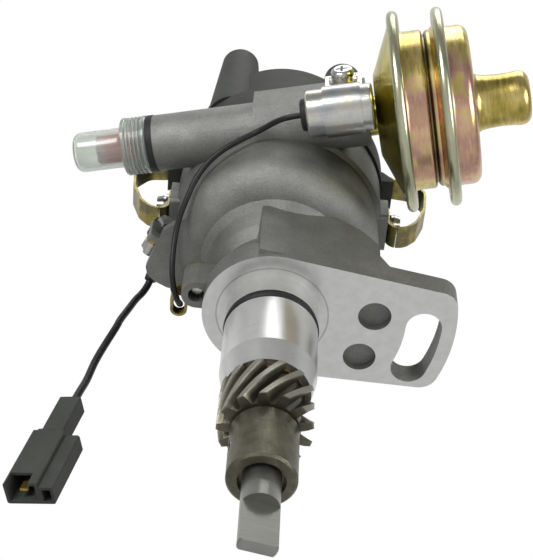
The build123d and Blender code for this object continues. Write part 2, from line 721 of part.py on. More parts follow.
strip_t = 1.6
with BuildPart() as rotor_contact:
    with BuildSketch(Plane.XY.offset(ROTOR_TOP_Z)):
        with Locations((ROTOR_TIP_R / 2 - 2, 0)):
            SlotOverall(ROTOR_TIP_R + 4, 6)
        with Locations((ROTOR_TIP_R - 4, 0)):
            Rectangle(8, 9)
        with BuildSketch(mode=Mode.PRIVATE) as reach_disc:
            Circle(ROTOR_TIP_R)
        add(reach_disc.sketch, mode=Mode.INTERSECT)
    extrude(amount=strip_t)
rotor_contact.part.label = "rotor_contact"
export_step(rotor_contact.part, "parts/rotor_contact.step")

# Breaker base plate, seated on the ledge, with the hub that the moving plate turns on
move_z = base_z + BASE_T + MOVE_GAP
with BuildPart() as breaker_base_plate:
    with BuildSketch(Plane.XY.offset(base_z)):
        Circle(LEDGE_R)
        Circle(HUB_R - 2, mode=Mode.SUBTRACT)
    extrude(amount=BASE_T)
    with BuildSketch(Plane.XY.offset(base_z + BASE_T)):
        Circle(HUB_R)
        Circle(HUB_R - 2, mode=Mode.SUBTRACT)
    extrude(amount=MOVE_GAP + MOVE_T)
breaker_base_plate.part.label = "breaker_base_plate"
export_step(breaker_base_plate.part, "parts/breaker_base_plate.step")

# Moving plate: ring, tab with the advance pin, and the arm's pivot post
half_swing = degrees(V_STROKE / ROD_PIN_PCR) / 2
rod_pin_az = -90 - half_swing
arm_pivot = (-19.0, 15.5)
arm_low_z = move_z + MOVE_T + 2.0
arm_t = 3.0
with BuildPart() as breaker_plate:
    with BuildSketch(Plane.XY.offset(move_z)):
        Circle(31)
        Circle(HUB_R + RUN, mode=Mode.SUBTRACT)
        with Locations(ring_at(27, rod_pin_az)[:2]):
            Rectangle(13, 9, rotation=rod_pin_az)
        with Locations(*[ring_at(23, a)[:2] for a in (0, 180, 250, 300)]):
            Circle(3, mode=Mode.SUBTRACT)
    extrude(amount=MOVE_T)
    with BuildSketch(Plane.XY.offset(move_z + MOVE_T)):
        with Locations(ring_at(ROD_PIN_PCR, rod_pin_az)[:2]):
            Circle(ROD_PIN_R)
    extrude(amount=TUBE_Z + 1.6 - move_z - MOVE_T)
    with BuildSketch(Plane.XY.offset(move_z + MOVE_T)):
        with Locations(arm_pivot):
            Circle(1.8)
    extrude(amount=arm_low_z + arm_t + 1 - move_z - MOVE_T)
breaker_plate.part.label = "breaker_plate"
export_step(breaker_plate.part, "parts/breaker_plate.step")

# Fixed point: a bent bracket with its contact button
contact_x = 15.5
contact_y = 14.0
point_gap = 0.45
with BuildPart() as fixed_contact:
    with BuildSketch(Plane.XY.offset(move_z + MOVE_T)):
        with Locations((contact_x + 2, contact_y - 1)):
            Rectangle(11, 7)
    extrude(amount=1)
    with BuildSketch(Plane.XY.offset(move_z + MOVE_T + 1)):
        with Locations((contact_x, contact_y - 3.6)):
            Rectangle(7, 1.2)
    extrude(amount=5.5)
    with BuildSketch(Plane.XZ.offset(-(contact_y - 3))):
        with Locations((contact_x, arm_low_z + arm_t / 2)):
            Circle(1.6)
    extrude(amount=-1.2)
fixed_contact.part.label = "fixed_contact"
export_step(fixed_contact.part, "parts/fixed_contact.step")

# Breaker arm: hub on the post, bar, rubbing block and contact button
button_face_y = contact_y - 3 + 1.2 + point_gap
bar_y = button_face_y + 1.2
block_y = CAM_LOBE_R + 0.15
with BuildPart() as breaker_arm:
    with BuildSketch(Plane.XY.offset(arm_low_z)):
        with Locations(arm_pivot):
            Circle(3.6)
        Polygon(
            (arm_pivot[0], arm_pivot[1] - 2.4), (contact_x + 2.2, bar_y), (contact_x + 2.2, bar_y + 1.6),
            (arm_pivot[0], arm_pivot[1] + 2.4), align=None,
        )
        Polygon(
            (-1.6, block_y), (1.6, block_y), (3.2, bar_y + 0.8), (-3.2, bar_y + 0.8), align=None,
        )
        with Locations(arm_pivot):
            Circle(1.8 + RUN, mode=Mode.SUBTRACT)
    extrude(amount=arm_t)
    with BuildSketch(Plane.XZ.offset(-(bar_y + 0.4))):
        with Locations((contact_x, arm_low_z + arm_t / 2)):
            Circle(1.45)
    extrude(amount=bar_y + 0.4 - button_face_y)
breaker_arm.part.label = "breaker_arm"
export_step(breaker_arm.part, "parts/breaker_arm.step")

# Leaf spring behind the arm, on its anchor post
with BuildPart() as breaker_spring:
    with BuildSketch(Plane.XY.offset(arm_low_z)):
        with BuildLine():
            leaf_path = Spline((-23, 20.5), (-10, 20.4), (3, bar_y + 3.9))
        trace(line_width=0.5)
        with Locations((-24, 20.5)):
            Circle(1.6)
    extrude(amount=arm_t)
    with BuildSketch(Plane.XY.offset(move_z + MOVE_T)):
        with Locations((-24, 20.5)):
            Circle(1.6)
    extrude(amount=arm_low_z - move_z - MOVE_T)
breaker_spring.part.label = "breaker_spring"
export_step(breaker_spring.part, "parts/breaker_spring.step")

brush_z = (ROTOR_TOP_Z + strip_t + SIDE, ROTOR_TOP_Z + strip_t + SIDE + BRUSH_LEN)

# Governor springs: each pulls a peg of the cam flange back to a post of the plate
with BuildPart() as governor_springs:
    for side in (1, -1):
        post = Vector(side * spring_post[0], side * spring_post[1], spring_z)
        peg = Vector(side * SPRING_PEG[0], side * SPRING_PEG[1], spring_z)
        along = (peg - post).normalized()
        length = (peg - post).length
        with BuildLine(Plane.XY):
            coil = Helix(pitch=1.25, height=length - 5.5, radius=1.5,
                         center=post + along * 2.75, direction=along)
        with BuildSketch(Plane(origin=coil @ 0, z_dir=coil % 0)):
            Circle(0.42)
        sweep(path=coil, is_frenet=True)
governor_springs.part.label = "governor_springs"
export_step(governor_springs.part, "parts/governor_springs.step")

# Cap seal on the rim
with BuildPart() as cap_seal:
    with BuildSketch(Plane.XY.offset(RIM_Z)):
        Circle(BAND_R - 0.2)
        Circle(LEDGE_R + 0.1, mode=Mode.SUBTRACT)
    extrude(amount=SEAL_T)
cap_seal.part.label = "cap_seal"
export_step(cap_seal.part, "parts/cap_seal.step")

# Distributor cap: skirt, spigot, ledges, four plug towers, centre tower and ribs
cap_low_z = RIM_Z + SEAL_T + CAP_GAP
cap_inner_r = CAP_R - CAP_WALL
ceiling_z = CAP_TOP_Z - 7
body_inner_r = CAP_BODY_R - CAP_WALL + 0.5
shoulder_z = ELECTRODE_LOW_Z + 9   # the electrodes come out of the cap's inner shoulder
tower_low_z = SKIRT_TOP_Z - 1
ledge_out_r = 46.5
ledge_low_z = 91.5
ledge_step_z = 93.5
ledge_top_z = 99.0
with BuildPart() as distributor_cap:
    with BuildSketch(Plane.XZ):
        with BuildLine():
            Polyline(
                (0, cap_low_z), (CAP_R, cap_low_z), (CAP_R, SKIRT_TOP_Z - 1.5),
                (CAP_R - 1.5, SKIRT_TOP_Z), (CAP_BODY_R + 0.6, SKIRT_TOP_Z + 0.8),
                (CAP_BODY_R, CAP_TOP_Z - 3), (CAP_BODY_R - 1, CAP_TOP_Z - 0.8),
                (CAP_BODY_R - 3.5, CAP_TOP_Z), (0, CAP_TOP_Z + 1.5),
                (0, cap_low_z),
            )
        make_face()
    revolve(axis=Axis.Z)
    with BuildSketch(Plane.XY.offset(cap_low_z)):
        Circle(LEDGE_R - SIDE)
    extrude(amount=-3.2)
    for azimuth in (CLIP_AZ, CLIP_AZ + 180):
        with BuildSketch(radial_plane(azimuth)):
            Polygon(
                (CAP_R - 1.5, ledge_low_z), (ledge_out_r, ledge_low_z), (ledge_out_r, ledge_step_z),
                (CAP_R, ledge_top_z), (CAP_R - 1.5, ledge_top_z), align=None,
            )
        extrude(amount=6.5, both=True)
    for azimuth in TOWER_AZ:
        with BuildSketch(Plane(origin=ring_at(TOWER_PCR, azimuth), x_dir=(1, 0, 0), z_dir=(0, -1, 0))):
            with BuildLine():
                Polyline(
                    (0, tower_low_z), (TOWER_BASE_R, tower_low_z),
                    (TOWER_TIP_R, TOWER_TOP_Z - 2.5), (TOWER_TIP_R - 0.8, TOWER_TOP_Z - 0.7),
                    (TOWER_TIP_R - 2.4, TOWER_TOP_Z), (0, TOWER_TOP_Z), (0, tower_low_z),
                )
            make_face()
        revolve(axis=Axis(ring_at(TOWER_PCR, azimuth), (0, 0, 1)))
        with BuildSketch(radial_plane(azimuth)):
            Polygon(
                (6, CAP_TOP_Z - 2), (TOWER_PCR, CAP_TOP_Z - 2), (TOWER_PCR, TOWER_TOP_Z - 14),
                (6, TOWER_TOP_Z - 6), align=None,
            )
        extrude(amount=1.6, both=True)
    with BuildSketch(Plane.XZ):
        with BuildLine():
            Polyline(
                (0, CAP_TOP_Z - 4), (10, CAP_TOP_Z - 4), (8.2, CENTRE_TOP_Z - 2),
                (6.4, CENTRE_TOP_Z), (0, CENTRE_TOP_Z), (0, CAP_TOP_Z - 4),
            )
        make_face()
    revolve(axis=Axis.Z)
    with BuildSketch(Plane.XZ):
        with BuildLine():
            Polyline(
                (0, cap_low_z - 4), (LEDGE_R - SIDE - 2.2, cap_low_z - 4),
                (cap_inner_r - 1.9, cap_low_z), (cap_inner_r - 2.5, SKIRT_TOP_Z - 4),
                (body_inner_r, SKIRT_TOP_Z - 2), (body_inner_r, shoulder_z),
                (ELECTRODE_PCR - ELECTRODE_R - 1.4, shoulder_z + 1),
                (ELECTRODE_PCR - ELECTRODE_R - 2.4, ceiling_z), (6.5, ceiling_z),
                (6.5, brush_z[1] - 6),
                (0, brush_z[1] - 6), (0, cap_low_z - 4),
            )
        make_face()
    revolve(axis=Axis.Z, mode=Mode.SUBTRACT)
    with BuildSketch(Plane.XY.offset(TOWER_TOP_Z - SOCKET_DEPTH)):
        with Locations(*[ring_at(TOWER_PCR, a)[:2] for a in TOWER_AZ]):
            Circle(SOCKET_BORE_R)
    extrude(amount=SOCKET_DEPTH + 1, mode=Mode.SUBTRACT)
    with BuildSketch(Plane.XY.offset(CENTRE_TOP_Z - SOCKET_DEPTH)):
        Circle(SOCKET_BORE_R)
    extrude(amount=SOCKET_DEPTH + 1, mode=Mode.SUBTRACT)
    with BuildSketch(Plane.XY.offset(shoulder_z - 1)):
        with Locations(*[ring_at(ELECTRODE_PCR, a)[:2] for a in TOWER_AZ]):
            Circle(ELECTRODE_R)
    extrude(amount=TOWER_TOP_Z - SOCKET_DEPTH - shoulder_z + 1, mode=Mode.SUBTRACT)
    with BuildSketch(Plane.XY.offset(brush_z[1] - 8)):
        Circle(BRUSH_R + RUN)
    extrude(amount=8 + BRUSH_TRAVEL, mode=Mode.SUBTRACT)
distributor_cap.part.label = "distributor_cap"
export_step(distributor_cap.part, "parts/distributor_cap.step")

# Electrodes moulded into the cap, one below each plug tower
with BuildPart() as cap_electrodes:
    with BuildSketch(Plane.XY.offset(ELECTRODE_LOW_Z)):
        with Locations(*[ring_at(ELECTRODE_PCR, a)[:2] for a in TOWER_AZ]):
            Circle(ELECTRODE_R)
    extrude(amount=TOWER_TOP_Z - SOCKET_DEPTH - ELECTRODE_LOW_Z)
cap_electrodes.part.label = "cap_electrodes"
export_step(cap_electrodes.part, "parts/cap_electrodes.step")

# Carbon brush in the centre of the cap, and its spring
with BuildPart() as centre_brush:
    with BuildSketch(Plane.XY.offset(brush_z[0])):
        Circle(BRUSH_R)
    extrude(amount=brush_z[1] - brush_z[0])
    chamfer(centre_brush.edges().sort_by(Axis.Z)[:1], 0.5)
centre_brush.part.label = "centre_brush"
export_step(centre_brush.part, "parts/centre_brush.step")

with BuildPart() as brush_spring:
    with BuildLine(Plane.XY):
        brush_coil = Helix(
            pitch=2.2, height=BRUSH_TRAVEL - 2 * 0.4, radius=1.7, center=(0, 0, brush_z[1] + 0.4)
        )
    with BuildSketch(Plane(origin=brush_coil @ 0, z_dir=brush_coil % 0)):
        Circle(0.4)
    sweep(path=brush_coil, is_frenet=True)
brush_spring.part.label = "brush_spring"
export_step(brush_spring.part, "parts/brush_spring.step")

# Clips: the fixed leaf with its bend, and the hook that swings off the ledge
nose = Vector(CAP_R + 2.25, (ledge_step_z + ledge_top_z) / 2)
slope = Vector(ledge_top_z - ledge_step_z, ledge_out_r - CAP_R).normalized()
nose = nose + slope * (CLIP_NOSE_R + SIDE)
leaf_r = LUG_R + CLIP_T / 2
with BuildPart() as clip_bases:
    for azimuth in (CLIP_AZ, CLIP_AZ + 180):
        with BuildSketch(radial_plane(azimuth)):
            with BuildLine():
                Polyline((leaf_r, CLIP_SCREW_Z + 5), (leaf_r, CLIP_PIVOT[1] + 4), (leaf_r + 0.2, CLIP_PIVOT[1] + 3))
                TangentArc(
                    (leaf_r + 0.2, CLIP_PIVOT[1] + 3), (CLIP_PIVOT[0] - SIDE / 2, CLIP_PIVOT[1]),
                    tangent=(0.25, -1),
                )
            trace(line_width=CLIP_T)
        extrude(amount=CLIP_W / 2, both=True)
        with BuildSketch(outward_plane(azimuth, LUG_R + 2, CLIP_SCREW_Z)):
            Circle(2)
        extrude(amount=-4, mode=Mode.SUBTRACT)
clip_bases.part.label = "clip_bases"
export_step(clip_bases.part, "parts/clip_bases.step")

for name, azimuth in (("right", CLIP_AZ), ("left", CLIP_AZ + 180)):
    with BuildPart() as clip_hook:
        with BuildSketch(radial_plane(azimuth)):
            with BuildLine():
                FilletPolyline(
                    (CLIP_PIVOT[0] + SIDE / 2, CLIP_PIVOT[1]),
                    *[(CLIP_PIVOT[0] + out, CLIP_PIVOT[1] + up) for out, up in HOOK_CORNERS],
                    (nose.X, nose.Y), radius=HOOK_BEND,
                )
            trace(line_width=CLIP_T)
            with Locations((nose.X, nose.Y)):
                Circle(CLIP_NOSE_R)
        extrude(amount=CLIP_W / 2, both=True)
    clip_hook.part.label = "clip_hook_" + name
    export_step(clip_hook.part, "parts/clip_hook_" + name + ".step")

# Clip screws with their washers, one solid each side
with BuildPart() as clip_screws:
    for azimuth in (CLIP_AZ, CLIP_AZ + 180):
        with BuildSketch(outward_plane(azimuth, LUG_R + CLIP_T, CLIP_SCREW_Z)):
            Circle(4.8)
        extrude(amount=0.8)
        with BuildSketch(outward_plane(azimuth, LUG_R + CLIP_T + 0.8, CLIP_SCREW_Z)):
            Circle(3.7)
        extrude(amount=1)
        with BuildSketch(outward_plane(azimuth, LUG_R + CLIP_T + 1.8, CLIP_SCREW_Z)):
            Circle(4.1)
        extrude(amount=2.6, taper=14)
        with BuildSketch(outward_plane(azimuth, LUG_R + CLIP_T, CLIP_SCREW_Z)):
            Circle(1.95)
        extrude(amount=-6)
        with BuildSketch(outward_plane(azimuth, LUG_R + CLIP_T + 3.4, CLIP_SCREW_Z)):
            Rectangle(4, 0.9)
            Rectangle(0.9, 4)
        extrude(amount=2, mode=Mode.SUBTRACT)
clip_screws.part.label = "clip_screws"
export_step(clip_screws.part, "parts/clip_screws.step")

# Condenser: can, strap with its lug, screw, spring washer and lead seal
can_plane = Plane(origin=(CAN_X[0], CAN_Y, CAN_Z), x_dir=(0, 1, 0), z_dir=(1, 0, 0))
with BuildPart() as condenser_can:
    with BuildSketch(can_plane):
        Circle(CAN_R)
    extrude(amount=CAN_X[1] - CAN_X[0])
    fillet(condenser_can.edges().filter_by(GeomType.CIRCLE).sort_by(Axis.X)[-1:], 1.2)
    chamfer(condenser_can.edges().filter_by(GeomType.CIRCLE).sort_by(Axis.X)[:1], 0.6)
    with BuildSketch(can_plane):
        Circle(SEAL_R)
    extrude(amount=1, mode=Mode.SUBTRACT)
condenser_can.part.label = "condenser_can"
export_step(condenser_can.part, "parts/condenser_can.step")

strap_mid_x = (STRAP_X[0] + STRAP_X[1]) / 2
with BuildPart() as condenser_strap:
    with BuildSketch(Plane(origin=(STRAP_X[0], CAN_Y, CAN_Z), x_dir=(0, 1, 0), z_dir=(1, 0, 0))):
        Circle(CAN_R + STRAP_T)
        Circle(CAN_R, mode=Mode.SUBTRACT)
        with Locations((PAD_Y - STRAP_T - CAN_Y, (CAN_R + STRAP_TOP_Z - CAN_Z) / 2 + 0.1)):
            Rectangle(2 * STRAP_T, STRAP_TOP_Z - CAN_Z - CAN_R - 0.2)
    extrude(amount=STRAP_X[1] - STRAP_X[0])
    with BuildSketch(Plane.XZ.offset(-CAN_Y + 3)):
        with Locations((strap_mid_x, STRAP_SCREW_Z)):
            Circle(CAN_SCREW_R + 0.1)
    extrude(amount=-6, mode=Mode.SUBTRACT)
condenser_strap.part.label = "condenser_strap"
export_step(condenser_strap.part, "parts/condenser_strap.step")

lug_front_y = PAD_Y - 2 * STRAP_T
screw_front = Plane(origin=(strap_mid_x, lug_front_y, STRAP_SCREW_Z), x_dir=(1, 0, 0), z_dir=(0, -1, 0))
with BuildPart() as condenser_screw:
    with BuildSketch(screw_front.offset(1.9)):
        Circle(CAN_HEAD_R)
    extrude(amount=2.9)
    fillet(condenser_screw.edges().filter_by(GeomType.CIRCLE).sort_by(Axis.Y)[:1], 1.6)
    with BuildSketch(screw_front.offset(1.9)):
        Circle(CAN_SCREW_R)
    extrude(amount=-9)
    with BuildSketch(screw_front.offset(3.4)):
        Rectangle(4.6, 1)
        Rectangle(1, 4.6)
    extrude(amount=2, mode=Mode.SUBTRACT)
    with BuildSketch(screw_front):
        Circle(4.6)
    extrude(amount=0.8)
    with BuildSketch(screw_front.offset(0.8)):
        Circle(3.8)
    extrude(amount=1.1)
condenser_screw.part.label = "condenser_screw"
export_step(condenser_screw.part, "parts/condenser_screw.step")

with BuildPart() as condenser_seal:
    with BuildSketch(can_plane.offset(1)):
        Circle(SEAL_R)
    extrude(amount=-SEAL_LEN)
    fillet(condenser_seal.edges().filter_by(GeomType.CIRCLE).sort_by(Axis.X)[:1], 1)
condenser_seal.part.label = "condenser_seal"
export_step(condenser_seal.part, "parts/condenser_seal.step")

# Lead clip: a strip screwed on the ear, with a loop that holds the condenser lead
ear_top_z = FLANGE_T - 2 + EAR_H
loop_end = Vector(LOOP_AT) - Vector(ring_at(LOOP_LEN / 2, LOOP_AZ)[:2])
strap_run = loop_end - Vector(ear[:2])
strap_az = degrees(atan2(strap_run.Y, strap_run.X))
loop_plane = Plane(origin=(LOOP_AT[0], LOOP_AT[1], LOOP_Z), x_dir=ring_at(1, LOOP_AZ), z_dir=(0, 0, 1))
with BuildPart() as lead_clip:
    with BuildSketch(Plane.XY.offset(ear_top_z)):
        with Locations(ear[:2]):
            Circle(EAR_R)
            Circle(EAR_SCREW_R, mode=Mode.SUBTRACT)
        with Locations(tuple(Vector(ear[:2]) + strap_run * 0.7)[:2]):
            Rectangle(strap_run.length * 0.6, LOOP_W, rotation=strap_az)
    extrude(amount=LOOP_T)
    with BuildSketch(loop_plane):
        SlotOverall(LOOP_LEN + 2 * LOOP_T, LOOP_W + 2 * LOOP_T)
        SlotOverall(LOOP_LEN, LOOP_W, mode=Mode.SUBTRACT)
    extrude(amount=LOOP_H)
    with BuildSketch(loop_plane):
        SlotOverall(LOOP_LEN, LOOP_W)
    extrude(amount=LOOP_H, mode=Mode.SUBTRACT)
lead_clip.part.label = "lead_clip"
export_step(lead_clip.part, "parts/lead_clip.step")

with BuildPart() as lead_clip_screw:
    with BuildSketch(Plane.XY.offset(ear_top_z + LOOP_T)):
        with Locations(ear[:2]):
            RegularPolygon(3.6, 6)
    extrude(amount=2.8)
    with BuildSketch(Plane.XY.offset(ear_top_z + LOOP_T)):
        with Locations(ear[:2]):
            Circle(EAR_SCREW_R)
    extrude(amount=-10.5)
lead_clip_screw.part.label = "lead_clip_screw"
export_step(lead_clip_screw.part, "parts/lead_clip_screw.step")

# Primary terminal: split insulator in the tab, two eyes, bolt, washer and nut
flange_out = TAB_T / 2 + INSULATOR_LIP_T
with BuildPart() as terminal_insulator:
    with BuildSketch(tab_plane.offset(-flange_out)):
        Circle(INSULATOR_LIP_R)
        Circle(BOLT_R, mode=Mode.SUBTRACT)
    extrude(amount=INSULATOR_LIP_T)
    with BuildSketch(tab_plane.offset(-TAB_T / 2)):
        Circle(INSULATOR_R)
        Circle(BOLT_R, mode=Mode.SUBTRACT)
    extrude(amount=TAB_T)
    with BuildSketch(tab_plane.offset(TAB_T / 2)):
        Circle(INSULATOR_LIP_R)
        Circle(BOLT_R, mode=Mode.SUBTRACT)
    extrude(amount=INSULATOR_LIP_T)
terminal_insulator.part.label = "terminal_insulator"
export_step(terminal_insulator.part, "parts/terminal_insulator.step")

barrel_ends = []
with BuildPart() as terminal_eyes:
    for place, tilt in ((0, 180), (1, 130)):
        low = flange_out + place * EYE_T
        centre = (BARREL_OFF * cos(radians(tilt)), BARREL_OFF * sin(radians(tilt)))
        with BuildSketch(tab_plane.offset(low)):
            Circle(EYE_R)
            with Locations((BARREL_OFF / 2 * cos(radians(tilt)), BARREL_OFF / 2 * sin(radians(tilt)))):
                Rectangle(BARREL_OFF, 3, rotation=tilt)
            with Locations(centre):
                Circle(BARREL_R)
            Circle(BOLT_R, mode=Mode.SUBTRACT)
        extrude(amount=EYE_T)
        barrel_foot = tab_plane.offset(low + EYE_T / 2).from_local_coords(Vector(*centre, 0))
        barrel = Plane(origin=barrel_foot, x_dir=(0, 0, 1), z_dir=ring_at(1, BARREL_AZ[place]))
        with BuildSketch(barrel):
            Circle(BARREL_R)
        extrude(amount=BARREL_LEN)
        barrel_ends.append(tuple(barrel.offset(BARREL_LEN).origin))
terminal_eyes.part.label = "terminal_eyes"
export_step(terminal_eyes.part, "parts/terminal_eyes.step")

nut_low = flange_out + 2 * EYE_T
with BuildPart() as terminal_bolt:
    with BuildSketch(tab_plane.offset(-flange_out)):
        RegularPolygon(3.5, 6)
    extrude(amount=-2.4)
    with BuildSketch(tab_plane.offset(-flange_out)):
        Circle(BOLT_R)
    extrude(amount=flange_out + nut_low + 6.4)
    with BuildSketch(tab_plane.offset(nut_low)):
        Circle(3.6)
    extrude(amount=1)
    with BuildSketch(tab_plane.offset(nut_low + 1)):
        RegularPolygon(3.6, 6)
    extrude(amount=3.6)
terminal_bolt.part.label = "terminal_bolt"
export_step(terminal_bolt.part, "parts/terminal_bolt.step")


def lead_route(points):
    """Straight runs through the points, joined by tangent arcs."""
    radii = []
    for before, corner, after in zip(points, points[1:], points[2:]):
        into = Vector(*corner) - Vector(*before)
        out = Vector(*after) - Vector(*corner)
        half_turn = radians(into.get_angle(out) / 2)
        radii.append(0.45 * min(into.length, out.length) / tan(half_turn))
    FilletPolyline(*points, radius=radii)


# Condenser lead, held all the way from the can to the terminal
lead_start = (CAN_X[0] + 1 - SEAL_LEN, CAN_Y, CAN_Z)
with BuildPart() as condenser_lead:
    with BuildLine() as condenser_route:
        lead_route([
            lead_start, (12.2, CAN_Y, CAN_Z), (7.3, -48.6, 55.5), (0.2, -43.6, 59.2),
            (-7.4, -42.6, 55.7), (-14.4, -41, 52.5), (-20.5, -38, 49.4), (-25.5, -34, 44.7),
            (-29, -29.5, 39.8), (-32.4, -24.5, 36), (-34.8, -19.2, 31.2), (-36.1, -14.3, 24),
            (-36.9, -9, 18.6), (-36.5, -2.9, 15.8), (-36.4, 2.7, 17.6), (-36.9, 6.4, 22.8),
            (-38.6, 9, 28.2), (-40.6, 11.6, 33.6), (-42.2, 13, 39), (-43.2, 11.2, 43.4),
            (-43.4, 7, 46), barrel_ends[0],
        ])
    with BuildSketch(Plane(origin=condenser_route.line @ 0, z_dir=condenser_route.line % 0)):
        Circle(LEAD_D / 2)
    sweep(path=condenser_route.line)
condenser_lead.part.label = "condenser_lead"
export_step(condenser_lead.part, "parts/condenser_lead.step")

# Primary lead, from the terminal down to its connector
sleeve_ends = ((-54.1, 10.2, 41.5), (-54.9, 8.8, 34.8))
with BuildPart() as primary_lead:
    with BuildLine() as primary_route:
        lead_route([
            barrel_ends[1], (-51.1, 2.8, 50.4), (-53.3, 7.6, 47.2), *sleeve_ends,
            (-57.6, 5.9, 25.3), (-59.8, 4.5, 16.5), (-61.4, 3.4, 5),
            (-62.7, 2.6, -6), (-64.2, 1.9, -17), (-66.15, 0.87, -29), PLUG_TOP,
        ])
    with BuildSketch(Plane(origin=primary_route.line @ 0, z_dir=primary_route.line % 0)):
        Circle(PRIMARY_D / 2)
    sweep(path=primary_route.line)
primary_lead.part.label = "primary_lead"
export_step(primary_lead.part, "parts/primary_lead.step")

# Vacuum unit: four pressed shells about two membranes, revolved about the tube's axis
sheet = V_SHEET
rim_low_x = V_RIM_X - 1.4
with BuildPart() as vacuum_inner_shell:
    with BuildSketch(TUBE_PLANE):
        Polygon(
            (SOCKET_X, V_ROD_HOLE_R), (SOCKET_X, V_NECK_R), (V_CONE_X - 0.5, V_NECK_R),
            (V_CONE_X - 0.5, V_CONE_R), (rim_low_x + 0.8, V_RIM_R - 4), (rim_low_x + 0.8, V_RIM_R - 1.6),
            (rim_low_x + 1.8, V_RIM_R - 1.6), (rim_low_x + 1.8, V_RIM_R - 4.6),
            (V_CONE_X + 0.5, V_CONE_R - 0.6), (V_CONE_X + 0.5, V_ROD_HOLE_R), align=None,
        )
    revolve(axis=TUBE_AXIS)
vacuum_inner_shell.part.label = "vacuum_inner_shell"
export_step(vacuum_inner_shell.part, "parts/vacuum_inner_shell.step")

port_axis = (0, cos(radians(PORT_AZ)), sin(radians(PORT_AZ)))
port_planes = [
    Plane(origin=(x, TUBE_Y, TUBE_Z), x_dir=(1, 0, 0), z_dir=port_axis) for x in (PORT_X_IN, PORT_X_OUT)
]
cup_in = V_DRUM_R - sheet
with BuildPart() as vacuum_inner_cup:
    with BuildSketch(TUBE_PLANE):
        Polygon(
            (rim_low_x, V_RIM_R - 3.1), (rim_low_x, V_RIM_R - 0.8), (rim_low_x + 0.8, V_RIM_R),
            (rim_low_x + 4.2, V_RIM_R), (rim_low_x + 5, V_RIM_R - 0.8), (rim_low_x + 5, V_DRUM_R + 1.5),
            (rim_low_x + 6.4, V_DRUM_R), (V_WAIST_X - 1.3, V_DRUM_R), (V_WAIST_X - 0.3, V_DRUM_R - 1),
            (V_WAIST_X - 0.3, V_HOLE_R), (V_WAIST_X - 1.3, V_HOLE_R), (V_WAIST_X - 1.3, cup_in),
            (rim_low_x + 5.6, cup_in), (rim_low_x + 2.6, V_DRUM_R + 0.8),
            (rim_low_x + 2.6, V_RIM_R - 1.6), (rim_low_x + 0.8, V_RIM_R - 1.6),
            (rim_low_x + 0.8, V_RIM_R - 3.1), align=None,
        )
    revolve(axis=TUBE_AXIS)
    with BuildSketch(port_planes[0].offset(cup_in - 3)):
        Circle(PORT_R)
    extrude(amount=5, mode=Mode.SUBTRACT)
vacuum_inner_cup.part.label = "vacuum_inner_cup"
export_step(vacuum_inner_cup.part, "parts/vacuum_inner_cup.step")

cup_b_r = V_DRUM_R - 0.5
rim2_low_x = V_RIM2_X - 1.2
with BuildPart() as vacuum_outer_cup:
    with BuildSketch(TUBE_PLANE):
        Polygon(
            (V_WAIST_X - 0.3, V_HOLE_R), (V_WAIST_X - 0.3, V_DRUM_R - 2), (V_WAIST_X + 0.3, V_DRUM_R - 2),
            (V_WAIST_X + 0.3, cup_b_r - 1), (V_WAIST_X + 1.3, cup_b_r), (rim2_low_x - 1.4, cup_b_r),
            (rim2_low_x + 0.8, V_RIM2_R - 5.6), (rim2_low_x + 0.8, V_RIM2_R - 1.6),
            (rim2_low_x + 1.8, V_RIM2_R - 1.6), (rim2_low_x + 1.8, V_RIM2_R - 6),
            (rim2_low_x - 0.4, cup_b_r - 1), (V_WAIST_X + 1.3, cup_b_r - 1),
            (V_WAIST_X + 1.3, V_HOLE_R), align=None,
        )
    revolve(axis=TUBE_AXIS)
vacuum_outer_cup.part.label = "vacuum_outer_cup"
export_step(vacuum_outer_cup.part, "parts/vacuum_outer_cup.step")

with BuildPart() as vacuum_outer_shell:
    with BuildSketch(TUBE_PLANE):
        with BuildLine():
            Polyline(
                (rim2_low_x, V_RIM2_R - 3), (rim2_low_x, V_RIM2_R - 0.7), (rim2_low_x + 0.7, V_RIM2_R),
                (rim2_low_x + 3.5, V_RIM2_R), (rim2_low_x + 4.2, V_RIM2_R - 0.7),
                (rim2_low_x + 4.2, V_DRUM_R + 1), (rim2_low_x + 5.2, V_DRUM_R),
                (V_DRUM_END_X - 4, V_DRUM_R),
            )
            RadiusArc((V_DRUM_END_X - 4, V_DRUM_R), (V_DRUM_END_X, V_DRUM_R - 4), 4)
            Polyline(
                (V_DRUM_END_X, V_DRUM_R - 4), (V_DRUM_END_X, V_NOSE_R + 1.5),
                (V_DRUM_END_X + 1, V_NOSE_R), (V_NOSE_X - 5, V_NOSE_R),
            )
            RadiusArc((V_NOSE_X - 5, V_NOSE_R), (V_NOSE_X, V_NOSE_R - 5), 5)
            Polyline(
                (V_NOSE_X, V_NOSE_R - 5), (V_NOSE_X, 0), (V_NOSE_X - sheet, 0),
                (V_NOSE_X - sheet, V_NOSE_R - 5), (V_NOSE_X - 5, V_NOSE_R - sheet),
                (V_DRUM_END_X - sheet, V_NOSE_R - sheet), (V_DRUM_END_X - sheet, V_DRUM_R - 4.4),
                (V_DRUM_END_X - 4.4, cup_in), (rim2_low_x + 4.6, cup_in),
                (rim2_low_x + 2.6, V_DRUM_R + 0.8), (rim2_low_x + 2.6, V_RIM2_R - 1.6),
                (rim2_low_x + 0.8, V_RIM2_R - 1.6), (rim2_low_x + 0.8, V_RIM2_R - 3),
                (rim2_low_x, V_RIM2_R - 3),
            )
        make_face()
    revolve(axis=TUBE_AXIS)
    with BuildSketch(port_planes[1].offset(cup_in - 3)):
        Circle(PORT_R)
    extrude(amount=5, mode=Mode.SUBTRACT)
vacuum_outer_shell.part.label = "vacuum_outer_shell"
export_step(vacuum_outer_shell.part, "parts/vacuum_outer_shell.step")

